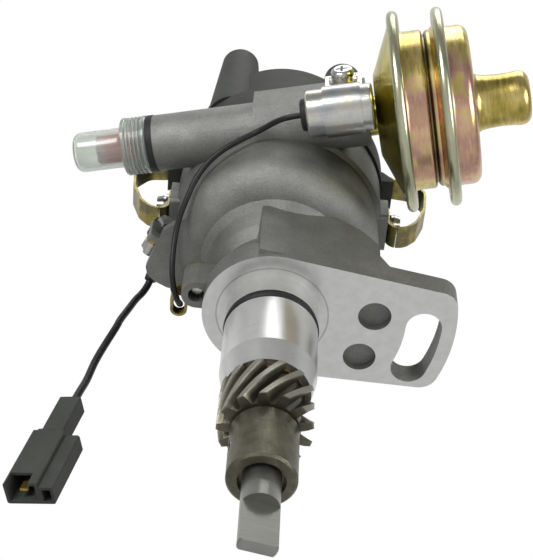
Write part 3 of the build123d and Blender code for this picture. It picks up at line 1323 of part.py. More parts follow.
# Membranes: the inner one reaches to the rod's piston plates, the outer one has its own
membrane_x = rim_low_x + 1.8
with BuildPart() as vacuum_membrane_inner:
    with BuildSketch(TUBE_PLANE):
        Polygon(
            (membrane_x, V_RIM_R - 1.6), (membrane_x, V_DRUM_R - 3), (membrane_x + 2.4, V_PISTON_R + 3),
            (membrane_x + 2.4, V_PISTON_HUB_R + SIDE), (membrane_x + 2.4 + V_MEMBRANE, V_PISTON_HUB_R + SIDE),
            (membrane_x + 2.4 + V_MEMBRANE, V_PISTON_R + 3), (membrane_x + V_MEMBRANE, V_DRUM_R - 3),
            (membrane_x + V_MEMBRANE, V_RIM_R - 1.6), align=None,
        )
    revolve(axis=TUBE_AXIS)
vacuum_membrane_inner.part.label = "vacuum_membrane_inner"
export_step(vacuum_membrane_inner.part, "parts/vacuum_membrane_inner.step")

membrane2_x = rim2_low_x + 1.8
with BuildPart() as vacuum_membrane_outer:
    with BuildSketch(TUBE_PLANE):
        Polygon(
            (membrane2_x, 0), (membrane2_x, V_RIM2_R - 1.6), (membrane2_x + V_MEMBRANE, V_RIM2_R - 1.6),
            (membrane2_x + V_MEMBRANE, V_PISTON_R), (membrane2_x + 2 * V_MEMBRANE, V_PISTON_R),
            (membrane2_x + 2 * V_MEMBRANE, 0), align=None,
        )
    revolve(axis=TUBE_AXIS)
vacuum_membrane_outer.part.label = "vacuum_membrane_outer"
export_step(vacuum_membrane_outer.part, "parts/vacuum_membrane_outer.step")

# Pull rod: two piston plates on the membrane, the rod, and the slotted arm for the pin
piston_x = membrane_x + 2.4 - SIDE - sheet
arm_z = TUBE_Z - sheet * 0.8
rod_pin = ring_at(ROD_PIN_PCR, rod_pin_az)
with BuildPart() as vacuum_rod:
    with BuildSketch(TUBE_PLANE):
        Polygon(
            (ROD_END_X, 0), (ROD_END_X, V_ROD_R), (piston_x - 3, V_ROD_R), (piston_x - 3, V_PISTON_HUB_R),
            (piston_x, V_PISTON_HUB_R), (piston_x, V_PISTON_R), (piston_x + sheet, V_PISTON_R),
            (piston_x + sheet, V_PISTON_HUB_R), (piston_x + sheet + 2 * SIDE + V_MEMBRANE, V_PISTON_HUB_R),
            (piston_x + sheet + 2 * SIDE + V_MEMBRANE, V_PISTON_R),
            (piston_x + 2 * sheet + 2 * SIDE + V_MEMBRANE, V_PISTON_R),
            (piston_x + 2 * sheet + 2 * SIDE + V_MEMBRANE, 0), align=None,
        )
    revolve(axis=TUBE_AXIS)
    with BuildSketch(Plane.XY.offset(arm_z)):
        with Locations((rod_pin[0], (TUBE_Y + rod_pin[1]) / 2 + 0.8)):
            RectangleRounded(ARM_W, rod_pin[1] - TUBE_Y + 8, 2)
        with Locations(rod_pin[:2]):
            SlotOverall(ROD_SLOT, 2 * (ROD_PIN_R + RUN), rotation=90, mode=Mode.SUBTRACT)
    extrude(amount=2 * sheet * 0.8)
vacuum_rod.part.label = "vacuum_rod"
export_step(vacuum_rod.part, "parts/vacuum_rod.step")

spring_low_x = piston_x + 2 * sheet + 2 * SIDE + V_MEMBRANE + V_WIRE_R
with BuildPart() as vacuum_spring:
    with BuildLine(Plane.XY):
        vacuum_coil = Helix(
            pitch=3, height=membrane2_x - SIDE - V_WIRE_R - spring_low_x, radius=V_SPRING_R,
            center=(spring_low_x, TUBE_Y, TUBE_Z), direction=(1, 0, 0),
        )
    with BuildSketch(Plane(origin=vacuum_coil @ 0, z_dir=vacuum_coil % 0)):
        Circle(V_WIRE_R)
    sweep(path=vacuum_coil, is_frenet=True)
vacuum_spring.part.label = "vacuum_spring"
export_step(vacuum_spring.part, "parts/vacuum_spring.step")

# Hose ports of the two chambers
with BuildPart() as vacuum_ports:
    for port in port_planes:
        with BuildSketch(port.offset(cup_in - 1)):
            Circle(PORT_R)
        extrude(amount=V_RIM_R + 1 - cup_in + 1)
        with BuildSketch(port.offset(V_RIM_R + 1)):
            Circle(PORT_TIP_R)
        extrude(amount=PORT_LEN)
        with BuildSketch(port.offset(cup_in - 1)):
            Circle(PORT_BORE_R)
        extrude(amount=V_RIM_R + 1 - cup_in + 1 + PORT_LEN, mode=Mode.SUBTRACT)
vacuum_ports.part.label = "vacuum_ports"
export_step(vacuum_ports.part, "parts/vacuum_ports.step")

# Selector: gasket on the tube's end, threaded stem, knob and its clear cap
gasket_end_x = TUBE_LEFT_X - GASKET_T
with BuildPart() as selector_gasket:
    with BuildSketch(tube_face(TUBE_LEFT_X)):
        Circle(GASKET_R)
        Circle(STEM_R, mode=Mode.SUBTRACT)
    extrude(amount=-GASKET_T)
    with BuildSketch(tube_face(gasket_end_x)):
        Circle(SPIGOT_R)
        Circle(STEM_R, mode=Mode.SUBTRACT)
    extrude(amount=-SPIGOT_LEN)
selector_gasket.part.label = "selector_gasket"
export_step(selector_gasket.part, "parts/selector_gasket.step")

stem_end_x = KNOB_X[1] - 8
with BuildPart() as selector_stem:
    with BuildSketch(TUBE_PLANE):
        Polygon(
            (stem_end_x, 0), (stem_end_x, STEM_R), (TUBE_LEFT_X + 2, STEM_R),
            (TUBE_LEFT_X + 2, TUBE_BORE_R), (TUBE_LEFT_X + 12, TUBE_BORE_R), (TUBE_LEFT_X + 12, STEM_R),
            (TUBE_LEFT_X + 18, STEM_R), (TUBE_LEFT_X + 18, 0), align=None,
        )
    revolve(axis=TUBE_AXIS)
selector_stem.part.label = "selector_stem"
export_step(selector_stem.part, "parts/selector_stem.step")

with BuildPart() as selector_knob:
    with BuildSketch(tube_face(KNOB_X[0])):
        Circle(KNOB_R)
        with PolarLocations(KNOB_R + 0.4, 12):
            Circle(0.9, mode=Mode.SUBTRACT)
    extrude(amount=KNOB_X[1] - KNOB_X[0])
    with BuildSketch(tube_face(stem_end_x - SIDE)):
        Circle(STEM_R + RUN)
    extrude(amount=KNOB_X[1] - stem_end_x + 1, mode=Mode.SUBTRACT)
selector_knob.part.label = "selector_knob"
export_step(selector_knob.part, "parts/selector_knob.step")

with BuildPart() as selector_cap:
    with BuildSketch(TUBE_PLANE):
        with BuildLine():
            Polyline(
                (gasket_end_x - SIDE, SPIGOT_R + RUN), (gasket_end_x - SIDE, SEL_FLANGE_R),
                (gasket_end_x - 2, SEL_FLANGE_R), (gasket_end_x - 2, SEL_RIB_R), (-49.6, SEL_RIB_R),
                (-49.6, SEL_FLANGE_R), (-51.4, SEL_FLANGE_R), (-51.4, SEL_RIB_R), (-53.2, SEL_RIB_R),
                (-53.2, SEL_FLANGE_R), (-55, SEL_FLANGE_R), (SEL_FLANGE_X, SEL_FLANGE_R - 0.6),
                (SEL_FLANGE_X, SEL_BODY_R), (SEL_TIP_X + 2.5, SEL_BODY_R),
            )
            RadiusArc((SEL_TIP_X + 2.5, SEL_BODY_R), (SEL_TIP_X, SEL_BODY_R - 2.5), -2.5)
            Polyline(
                (SEL_TIP_X, SEL_BODY_R - 2.5), (SEL_TIP_X, 0), (SEL_TIP_X + SEL_WALL, 0),
                (SEL_TIP_X + SEL_WALL, SEL_BODY_R - SEL_WALL), (gasket_end_x - 4, SEL_BODY_R - SEL_WALL),
                (gasket_end_x - 4, SPIGOT_R + RUN), (gasket_end_x - SIDE, SPIGOT_R + RUN),
            )
        make_face()
    revolve(axis=TUBE_AXIS)
selector_cap.part.label = "selector_cap"
export_step(selector_cap.part, "parts/selector_cap.step")

# Sleeve where the primary lead comes out over the shelf
sleeve_run = Vector(*sleeve_ends[1]) - Vector(*sleeve_ends[0])
sleeve_top = Vector(*sleeve_ends[0]) + sleeve_run * 0.46
with BuildPart() as lead_sleeve:
    with BuildSketch(Plane(origin=sleeve_top, z_dir=sleeve_run)):
        Circle(PRIMARY_D / 2 + 0.8)
        Circle(PRIMARY_D / 2 + RUN, mode=Mode.SUBTRACT)
    extrude(amount=SLEEVE_LEN)
lead_sleeve.part.label = "lead_sleeve"
export_step(lead_sleeve.part, "parts/lead_sleeve.step")

# Connector: boot, body with an open mouth, a rail at its side, and one blade inside
plug = Plane(origin=PLUG_TOP, x_dir=(-PLUG_AXIS[2], 0, PLUG_AXIS[0]), z_dir=PLUG_AXIS)
body_mid = (BODY_X[0] + BODY_X[1]) / 2
with BuildPart() as connector_housing:
    with BuildSketch(plug):
        RectangleRounded(BOOT_W, BOOT_D, 1)
    extrude(amount=BOOT_LEN + 1)
    with BuildSketch(plug.offset(BOOT_LEN - 1.4)):
        with Locations((body_mid, 0)):
            RectangleRounded(BODY_X[1] - BODY_X[0] - 2, BOOT_D, 1)
    extrude(amount=2)
    with BuildSketch(plug.offset(BOOT_LEN)):
        with Locations((body_mid, 0)):
            RectangleRounded(BODY_X[1] - BODY_X[0], BODY_D, 0.8)
    extrude(amount=PLUG_LEN - BOOT_LEN)
    with BuildSketch(plug.offset(BOOT_LEN + 0.8)):
        with Locations(((BODY_X[1] + RAIL_X) / 2 - 1, (RAIL_D - BODY_D) / 2)):
            RectangleRounded(RAIL_X - BODY_X[1] + 2, RAIL_D, 0.8)
    extrude(amount=PLUG_LEN - BOOT_LEN - 0.8)
    with BuildSketch(plug.offset(PLUG_LEN)):
        with Locations((body_mid, 0)):
            Rectangle(BODY_X[1] - BODY_X[0] - 2 * PLUG_WALL, BODY_D - 2 * PLUG_WALL)
    extrude(amount=-MOUTH_DEPTH, mode=Mode.SUBTRACT)
    with BuildSketch(plug.offset(PLUG_LEN)):
        with Locations(((BODY_X[1] + RAIL_X) / 2, (RAIL_D - BODY_D) / 2)):
            Rectangle(RAIL_X - BODY_X[1] - 2 * PLUG_WALL, RAIL_D - 2 * PLUG_WALL)
    extrude(amount=-MOUTH_DEPTH / 2, mode=Mode.SUBTRACT)
    with BuildSketch(plug.offset(PLUG_LEN)):
        with Locations((body_mid - 1, BODY_D / 2)):
            Rectangle(7.6, 2 * PLUG_WALL + 0.2)
    extrude(amount=-5.4, mode=Mode.SUBTRACT)
connector_housing.part.label = "connector_housing"
export_step(connector_housing.part, "parts/connector_housing.step")

with BuildPart() as connector_pin:
    with BuildSketch(plug.offset(PLUG_LEN - MOUTH_DEPTH)):
        with Locations((body_mid, 0)):
            Rectangle(2.8, 0.8)
    extrude(amount=MOUTH_DEPTH - 2)
    chamfer(connector_pin.edges().sort_by(Axis.Z)[:1], 0.3)
connector_pin.part.label = "connector_pin"
export_step(connector_pin.part, "parts/connector_pin.step")
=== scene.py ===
"""Looks of the ignition distributor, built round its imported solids. Metres throughout."""
import json
import math

import bmesh
import bpy
from mathutils import Matrix, Vector


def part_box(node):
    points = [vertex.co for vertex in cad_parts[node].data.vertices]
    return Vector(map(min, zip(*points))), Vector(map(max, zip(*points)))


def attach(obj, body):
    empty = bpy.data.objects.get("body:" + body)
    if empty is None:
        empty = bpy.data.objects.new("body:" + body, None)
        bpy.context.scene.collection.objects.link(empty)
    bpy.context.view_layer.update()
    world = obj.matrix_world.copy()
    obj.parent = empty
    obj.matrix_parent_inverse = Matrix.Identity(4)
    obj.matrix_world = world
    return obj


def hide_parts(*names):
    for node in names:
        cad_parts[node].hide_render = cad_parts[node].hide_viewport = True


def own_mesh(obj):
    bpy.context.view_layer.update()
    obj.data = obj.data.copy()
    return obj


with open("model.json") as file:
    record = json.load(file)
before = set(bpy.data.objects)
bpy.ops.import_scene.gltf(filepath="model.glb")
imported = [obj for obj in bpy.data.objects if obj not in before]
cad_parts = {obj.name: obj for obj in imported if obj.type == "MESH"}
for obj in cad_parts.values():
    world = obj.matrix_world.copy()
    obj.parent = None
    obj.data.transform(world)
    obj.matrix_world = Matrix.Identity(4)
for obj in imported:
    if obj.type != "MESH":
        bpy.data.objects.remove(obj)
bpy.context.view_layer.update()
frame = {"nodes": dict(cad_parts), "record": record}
nodes = frame["nodes"]
MM = 0.001
TUBE_Y, TUBE_Z = -38.0, 70.3  # axis of the advance tube and the vacuum unit, in mm
LAND_R = 20.2                 # ring that the shank's cutter left on the seating face, in mm
CUP_RIM_R = (34.0, 35.2)      # where the vacuum unit's pale rolled rims begin, in mm
CONE_X = (53.2, 52.4)         # where its drums turn into the cone, in mm
WAIST_SHADE_X = (63.2, 64.3, 66.8, 65.4)  # where shade is painted in the waist between the drums: both edges of the band, in mm
TEETH_HIGHLIGHT_R = (15.6, 16.4)        # where a highlight is painted on the gear's teeth, in mm


# Finishes

def shade(red, green, blue, alpha=1.0):
    """A colour as it looks on screen, 0 to 255, as the numbers that a shader wants."""
    linear = []
    for part in (red, green, blue):
        part /= 255
        linear.append(part / 12.92 if part <= 0.04045 else ((part + 0.055) / 1.055) ** 2.4)
    return (*linear, alpha)


class Value:
    """A number that changes over a surface. Sums written with it add Math nodes."""

    def __init__(self, shading, socket):
        self.shading, self.socket = shading, socket

    def sum(self, operation, first, second):
        return self.shading.node("Math", {"operation": operation}, {0: first, 1: second})

    def __add__(self, other):
        return self.sum("ADD", self, other)

    def __radd__(self, other):
        return self.sum("ADD", other, self)

    def __sub__(self, other):
        return self.sum("SUBTRACT", self, other)

    def __rsub__(self, other):
        return self.sum("SUBTRACT", other, self)

    def __mul__(self, other):
        return self.sum("MULTIPLY", self, other)

    def __rmul__(self, other):
        return self.sum("MULTIPLY", other, self)

    def __pow__(self, other):
        return self.sum("POWER", self, other)

    def most(self, other):
        return self.sum("MAXIMUM", self, other)

    def wave(self):
        return self.sum("SINE", self, 0.0)

    def size(self):
        return self.sum("ABSOLUTE", self, 0.0)

    def rises(self, low, high):
        """0 below low, 1 above high, and smooth between them; falls if low is the larger."""
        return self.shading.node(
            "MapRange", {"interpolation_type": "SMOOTHSTEP"},
            {"Value": self, "From Min": low, "From Max": high})


class Shading:
    """The nodes of one material, or of the world."""

    def __init__(self, owner):
        owner.use_nodes = True
        self.tree = owner.node_tree
        self.tree.nodes.clear()

    def node(self, kind, settings=None, inputs=None, output=0):
        made = self.tree.nodes.new("ShaderNode" + kind)
        for name, value in (settings or {}).items():
            if name == "stops":
                ramp = made.color_ramp.elements
                while len(ramp) < len(value):
                    ramp.new(0.5)
                for stop, (place, colour) in zip(ramp, value):
                    stop.position, stop.color = place, colour
            else:
                setattr(made, name, value)
        for name, value in (inputs or {}).items():
            if isinstance(value, Value):
                self.tree.links.new(value.socket, made.inputs[name])
            else:
                made.inputs[name].default_value = value
        return Value(self, made.outputs[output]) if made.outputs else None


class Finish(Shading):
    """A material with one Principled shader, fed by what its surface shows."""

    def __init__(self, name, **fixed):
        self.material = bpy.data.materials.new(name)
        super().__init__(self.material)
        self.shader = self.tree.nodes.new("ShaderNodeBsdfPrincipled")
        end = self.tree.nodes.new("ShaderNodeOutputMaterial")
        self.tree.links.new(self.shader.outputs[0], end.inputs["Surface"])
        for socket, value in fixed.items():
            self.set(socket.replace("_", " ").title().replace("Ior", "IOR"), value)
        self.mm = self.node("VectorMath", {"operation": "SCALE"},
                            {"Vector": self.node("TexCoord", output="Object"), "Scale": 1000.0})
        apart = self.tree.nodes.new("ShaderNodeSeparateXYZ")
        self.tree.links.new(self.mm.socket, apart.inputs[0])
        self.x, self.y, self.z = (Value(self, out) for out in apart.outputs)

    def set(self, socket, value):
        if isinstance(value, Value):
            self.tree.links.new(value.socket, self.shader.inputs[socket])
        else:
            self.shader.inputs[socket].default_value = value

    def grain(self, scale, detail=3.0, rough=0.55, across=None):
        """Uneven spots; scale counts them per millimetre, across stretches them by axis."""
        vector = self.mm
        if across:
            vector = self.node("VectorMath", {"operation": "MULTIPLY"}, {0: self.mm, 1: across})
        return self.node("TexNoise", {}, {"Vector": vector, "Scale": scale, "Detail": detail,
                                          "Roughness": rough})

    def mix(self, share, first, second):
        return self.node("Mix", {"data_type": "RGBA"}, {0: share, 6: first, 7: second}, output=2)

    def ramp(self, share, stops):
        return self.node("ValToRGB", {"stops": stops}, {"Fac": share})

    def about(self, y, z=None):
        """Distance from the shaft's axis, or from a line along X at y and z."""
        if z is None:
            return (self.x * self.x + self.y * self.y) ** 0.5
        across, up = self.y - y, self.z - z
        return (across * across + up * up) ** 0.5

    def relief(self, height, depth):
        """Raises the surface by height times depth, in millimetres."""
        self.set("Normal", self.node("Bump", {}, {"Height": height, "Distance": depth * MM,
                                                  "Strength": 1.0}))


def cast_aluminium():
    """Blasted casting, with the shank, its land and the seating face turned bright."""
    f = Finish("cast_aluminium", specular_ior_level=0.5)
    patches, pits, speck = f.grain(0.07, 3), f.grain(1.5, 4, 0.7), f.grain(3.4, 2, 0.6)
    cast = f.ramp(patches, [(0.3, shade(116, 117, 113)), (0.55, shade(129, 130, 126)),
                            (0.75, shade(142, 143, 139))])
    cast = f.mix((pits * 0.5 + speck * 0.5).rises(0.48, 0.62) * 0.6, cast, shade(88, 87, 83))
    cast = f.mix(speck.rises(0.54, 0.68) * 0.35, cast, shade(186, 186, 182))
    turned = f.z.rises(0.06, 0.02)
    shank = f.z.rises(-0.6, -1.0)
    fine = f.grain(1.0, 3, 0.6, across=(0.05, 0.05, 5.0))
    smear = f.grain(0.25, 3, 0.6)
    bright = f.ramp(fine * 0.5 * shank + smear * (1 - 0.5 * shank), [
        (0.25, shade(210, 210, 208)), (0.5, shade(218, 218, 216)), (0.75, shade(225, 225, 223))])
    ring = (f.about(0) - LAND_R).size().rises(0.4, 0.15) * (1 - shank)
    bright = f.mix(ring * 0.55, bright, shade(140, 140, 138))
    f.set("Base Color", f.mix(turned, cast, bright))
    f.set("Metallic", turned * 0.2 + 0.75)
    f.set("Roughness", (1 - turned) * (pits * 0.16 + 0.4) + turned * (fine * 0.1 + smear * 0.06 + 0.22))
    f.relief((1 - turned) * (pits * 0.5 + speck * 0.5) + turned * shank * fine * 0.08, 0.3)
    return f.material


def turned_steel():
    """Turned steel of the shaft, with fine rings round its axis."""
    f = Finish("turned_steel")
    fine = f.grain(0.9, 3, 0.6, across=(0.08, 0.08, 6.0))
    f.set("Base Color", f.ramp(fine, [(0.25, shade(136, 136, 131)), (0.6, shade(154, 154, 149)),
                                      (0.85, shade(166, 166, 161))]))
    f.set("Metallic", 0.95)
    f.set("Roughness", fine * 0.1 + 0.26)
    f.relief(fine, 0.015)
    return f.material


def gear_steel():
    """Cut and oiled steel, dark brown-grey, with a highlight painted on the outer ends of its teeth."""
    f = Finish("gear_steel")
    cloud, fine = f.grain(0.2, 4), f.grain(1.3, 4, 0.65)
    # Painted highlight on the outer ends of the teeth, from z -64.5 mm up
    painted_tooth_highlight = (f.about(0) + fine * 1.2).rises(*TEETH_HIGHLIGHT_R) * f.z.rises(-64.5, -63.0)
    dark = f.ramp(cloud, [(0.3, shade(86, 84, 70)), (0.6, shade(105, 103, 88)), (0.8, shade(126, 124, 110))])
    f.set("Base Color", f.mix(painted_tooth_highlight * 0.6, f.mix(fine.rises(0.5, 0.75) * 0.4, dark, shade(70, 67, 58)),
                              shade(170, 167, 156)))
    f.set("Metallic", 0.85)
    f.set("Roughness", fine * 0.26 + 0.26)
    f.relief(fine, 0.1)
    return f.material


def sintered_bronze():
    """Porous bronze of the bushes."""
    f = Finish("sintered_bronze")
    pits = f.grain(1.8, 4, 0.7)
    f.set("Base Color", f.ramp(pits, [(0.3, shade(96, 78, 60)), (0.6, shade(134, 110, 86)),
                                      (0.85, shade(152, 128, 102))]))
    f.set("Metallic", 0.8)
    f.set("Roughness", pits * 0.3 + 0.3)
    f.relief(pits, 0.06)
    return f.material


def drawn_wire():
    """Drawn spring wire."""
    f = Finish("drawn_wire")
    fine = f.grain(2.0, 2)
    f.set("Base Color", f.ramp(fine, [(0.3, shade(120, 120, 118)), (0.7, shade(156, 156, 154))]))
    f.set("Metallic", 0.95)
    f.set("Roughness", fine * 0.15 + 0.28)
    return f.material


def bright_zinc():
    """Bright plate with the faint blue and yellow clouds of a clear passivate."""
    f = Finish("bright_zinc")
    cloud, fine = f.grain(0.12, 3), f.grain(1.5, 3)
    f.set("Base Color", f.mix(fine.rises(0.35, 0.75) * 0.3, f.ramp(
        cloud, [(0.3, shade(178, 184, 190)), (0.5, shade(204, 204, 200)), (0.7, shade(212, 206, 188))]),
        shade(150, 150, 148)))
    f.set("Metallic", 0.97)
    f.set("Roughness", fine * 0.14 + 0.16)
    f.relief(fine, 0.03)
    return f.material


def yellow_zinc():
    """Worn yellow plate, with grey where it has been handled."""
    f = Finish("yellow_zinc")
    cloud, fine = f.grain(0.16, 4, 0.6), f.grain(1.4, 3)
    f.set("Base Color", f.mix(fine.rises(0.3, 0.8) * 0.35, f.ramp(
        cloud, [(0.3, shade(112, 110, 92)), (0.46, shade(136, 128, 88)), (0.6, shade(178, 160, 84)),
                (0.78, shade(126, 126, 112))]), shade(96, 92, 74)))
    f.set("Metallic", 0.93)
    f.set("Roughness", fine * 0.2 + 0.24)
    f.relief(fine, 0.04)
    return f.material


def chromate(name, seed):
    """Spun sheet under yellow chromate: gold and pink drums, an olive cone and pale rolled rims, with
    painted reflection bands over the drums' height and painted shade in their waist.
    """
    f = Finish(name)
    film, streak = f.grain(0.05, 3, 0.6), f.grain(0.5, 3, 0.5, across=(2.2, 0.35, 0.35))
    fine, radius = f.grain(1.8, 3), f.about(TUBE_Y, TUBE_Z)
    # Film colour, with a wave over height and length that also paints the drums' reflection bands
    film_and_reflection = film * 0.6 + streak * 0.22 + (f.z * 0.09 + f.x * 0.05 + seed).wave() * 0.09 + 0.06
    drum = f.ramp(film_and_reflection, [
        (0.28, shade(132, 124, 58)), (0.38, shade(188, 168, 88)), (0.46, shade(218, 198, 130)),
        (0.54, shade(216, 178, 146)), (0.60, shade(198, 152, 142)), (0.68, shade(198, 182, 104)),
        (0.78, shade(140, 156, 88))])
    cone = f.ramp(film_and_reflection, [
        (0.3, shade(112, 110, 26)), (0.46, shade(168, 160, 52)), (0.58, shade(206, 190, 84)),
        (0.72, shade(120, 138, 62))])
    rim = f.ramp(film_and_reflection, [
        (0.3, shade(146, 152, 120)), (0.5, shade(196, 194, 164)), (0.7, shade(170, 178, 150))])
    sheet = f.mix(f.x.rises(*CONE_X), drum, cone)
    sheet = f.mix(radius.rises(*CUP_RIM_R), sheet, rim)
    # Painted shade in the waist between the drums
    waist_shade = f.x.rises(*WAIST_SHADE_X[:2]) * f.x.rises(*WAIST_SHADE_X[2:])
    sheet = f.mix(waist_shade * 0.8, sheet, shade(70, 62, 34))
    f.set("Base Color", f.mix(fine.rises(0.45, 0.8) * 0.14, sheet, shade(104, 92, 50)))
    f.set("Metallic", 0.97)
    f.set("Roughness", fine * 0.1 + streak * 0.1 + 0.14)
    f.relief(fine * 0.4 + streak, 0.03)
    return f.material


def rolled_brass():
    """Rolled brass strip."""
    f = Finish("rolled_brass")
    fine = f.grain(1.6, 3)
    f.set("Base Color", f.ramp(fine, [(0.3, shade(150, 122, 66)), (0.7, shade(198, 168, 100))]))
    f.set("Metallic", 0.95)
    f.set("Roughness", fine * 0.2 + 0.22)
    return f.material


def plain_aluminium():
    """Plain aluminium of the cap's electrodes."""
    f = Finish("plain_aluminium")
    fine = f.grain(2.0, 3)
    f.set("Base Color", f.ramp(fine, [(0.3, shade(160, 160, 160)), (0.7, shade(196, 196, 196))]))
    f.set("Metallic", 0.95)
    f.set("Roughness", fine * 0.2 + 0.25)
    return f.material


def moulded(name, low, high, gloss, grain=1.1, depth=0.05):
    """Moulded plastic with a fine spark-eroded grain and slightly uneven colour."""
    f = Finish(name, specular_ior_level=0.28)
    cloud, fine = f.grain(0.12, 3), f.grain(grain, 3, 0.6)
    f.set("Base Color", f.ramp(cloud * 0.6 + fine * 0.4, [(0.3, low), (0.7, high)]))
    f.set("Roughness", fine * 0.16 + gloss)
    f.relief(fine, depth)
    return f.material


def clear_plastic():
    """Clear moulding, scuffed to a haze."""
    f = Finish("clear_plastic", ior=1.46, specular_ior_level=0.5)
    fine = f.grain(0.9, 4, 0.65)
    f.set("Base Color", f.ramp(fine, [(0.3, shade(214, 220, 214)), (0.7, shade(234, 238, 232))]))
    f.set("Roughness", fine * 0.1 + 0.1)
    f.set("Transmission Weight", 0.82)
    f.relief(fine, 0.03)
    return f.material


def knob_plastic():
    """Red knob, which pales toward its far end behind the hazy cap."""
    f = Finish("red_moulding", specular_ior_level=0.3)
    fine = f.grain(0.8, 3)
    pale = (f.x + fine * 2.0).rises(-57.5, -64.0)
    f.set("Base Color", f.mix(pale, f.ramp(fine, [(0.3, shade(196, 44, 36)), (0.7, shade(222, 62, 50))]),
                              shade(206, 176, 168)))
    f.set("Roughness", fine * 0.12 + 0.3)
    f.relief(fine, 0.03)
    return f.material


finishes = {
    "cast": cast_aluminium(),
    "steel": turned_steel(),
    "dark_steel": gear_steel(),
    "bronze": sintered_bronze(),
    "spring_steel": drawn_wire(),
    "zinc_bright": bright_zinc(),
    "zinc_yellow": yellow_zinc(),
    "chromate": chromate("yellow_chromate", 0.0),
    "chromate_rim": chromate("pale_chromate", 2.0),
    "brass": rolled_brass(),
    "electrode": plain_aluminium(),
    "black_plastic": moulded("dark_moulding", shade(46, 48, 44), shade(60, 62, 57), 0.55),
    "carbon": moulded("carbon", shade(34, 34, 34), shade(48, 48, 48), 0.5),
    "rubber": moulded("black_rubber", shade(26, 26, 27), shade(38, 38, 39), 0.46, 1.6),
    "membrane": moulded("membrane_cloth", shade(40, 40, 42), shade(56, 56, 58), 0.55, 2.2),
    "lead_black": moulded("lead_insulation", shade(20, 20, 21), shade(32, 32, 33), 0.34, 1.6, 0.02),
    "clear_plastic": clear_plastic(),
    "red_plastic": knob_plastic(),
}
for row in frame["record"]["subparts"]:
    surface = nodes[row["node"]].data.materials
    surface.clear()
    surface.append(finishes[row["material_slot"]])


# Pieces that dress the solids

def clear_selection():
    bpy.ops.object.select_all(action="DESELECT")


def finish_piece(name, slot, body, *replaced):
    """Names the piece in hand, puts its place into its mesh, and gives it its finish and body."""
    piece = bpy.context.object
    piece.name = name
    bpy.ops.object.transform_apply(location=True, rotation=True, scale=True)
    bpy.ops.object.shade_smooth_by_angle(angle=math.radians(35))
    piece.data.materials.append(finishes[slot])
    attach(piece, body)
    if replaced:
        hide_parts(*replaced)
    return piece


def modify(kind, **settings):
    """Adds a modifier to the piece in hand and applies it."""
    modifier = bpy.context.object.modifiers.new(kind.lower(), kind)
    for name, value in settings.items():
        setattr(modifier, name, value)
    bpy.ops.object.modifier_apply(modifier=modifier.name)


def arc(x, radius, bend, start, stop, steps=8):
    """Points of an outline round a centre at x and radius, from one angle to another."""
    turns = [math.radians(start + (stop - start) * step / steps) for step in range(steps + 1)]
    return [(x + bend * math.cos(turn), radius + bend * math.sin(turn)) for turn in turns]


def spun(outline, wall):
    """Sheet spun about the tube's axis: a ring drawn out along x and resized, then given its wall."""
    x, radius = outline[0]
    clear_selection()
    bpy.ops.mesh.primitive_circle_add(vertices=112, radius=radius * MM, rotation=(0, math.pi / 2, 0),
                                      location=(x * MM, TUBE_Y * MM, TUBE_Z * MM))
    bpy.ops.object.transform_apply(location=True, rotation=True, scale=True)
    bpy.ops.object.mode_set(mode="EDIT")
    bpy.ops.mesh.select_all(action="SELECT")
    for next_x, next_radius in outline[1:]:
        bpy.ops.mesh.extrude_region_move(TRANSFORM_OT_translate={"value": ((next_x - x) * MM, 0, 0)})
        share = next_radius / radius
        bpy.ops.transform.resize(value=(1, share, share),
                                 center_override=(next_x * MM, TUBE_Y * MM, TUBE_Z * MM))
        x, radius = next_x, next_radius
    bpy.ops.mesh.select_all(action="SELECT")
    bpy.ops.mesh.remove_doubles(threshold=0.01 * MM)
    bpy.ops.mesh.normals_make_consistent(inside=False)
    bpy.ops.object.mode_set(mode="OBJECT")
    modify("SOLIDIFY", thickness=wall * MM, offset=-1, use_quality_normals=True)


TIP = 0.004  # a ring this small, in mm, closes to a point
CUP_WALL, CAP_WALL = 0.9, 1.2  # sheet of the vacuum unit and wall of the selector's cap, in mm

# Inner cup of the vacuum unit: rolled rim, drum and the wall at the waist
spun(arc(54.0, 36.2, 2.15, 215, -40, 16)
     + [(55.25, 34.1), (55.2, 32.4), (55.5, 31.1), (56.3, 30.4), (57.6, 30.15), (62.6, 30.15)]
     + arc(63.0, 28.9, 1.25, 90, 0, 5) + [(64.25, 27.5), (64.25, 15.3)], CUP_WALL)
finish_piece("rolled_inner_cup", "chromate_rim", "housing", "vacuum_inner_cup")

# Outer shell: rolled rim, deep drum and the nose, which swells a little toward its end
spun(arc(70.55, 35.6, 2.15, 215, -40, 16)
     + [(71.85, 33.5), (71.8, 32.2), (72.1, 31.0), (72.9, 30.4), (74.2, 30.15)]
     + arc(77.4, 26.4, 3.75, 90, 0) + [(81.15, 14.0), (81.3, 12.4), (82.0, 11.2), (83.4, 10.5), (86, 10.1),
                                       (91, 9.8), (95, 10.0), (97.6, 10.3)]
     + arc(98.4, 6.5, 3.75, 90, 0) + [(102.15, TIP)], CUP_WALL)
finish_piece("rolled_outer_shell", "chromate", "housing", "vacuum_outer_shell")

# Clear cap of the selector: four thread ridges, a flange and the domed barrel
ridges = []
for place in range(4):
    ridge = -46.5 - 1.5 * place
    ridges += [(ridge, 10.5), (ridge - 0.4, 10.4), (ridge - 0.75, 11.15), (ridge - 1.15, 11.15)]
spun([(-44.75, 8.6), (-44.75, 10.9), (-45.1, 11.25), (-46.2, 11.25)] + ridges
     + [(-52.5, 10.5), (-52.8, 11.0), (-53.1, 11.25), (-54.1, 11.25), (-54.5, 10.9), (-54.55, 8.7),
        (-55.2, 8.05), (-56.4, 7.8)]
     + arc(-71.6, 4.85, 2.9, 90, 180) + [(-74.5, TIP)], CAP_WALL)
finish_piece("ridged_selector_cap", "clear_plastic", "selector_cap", "selector_cap")

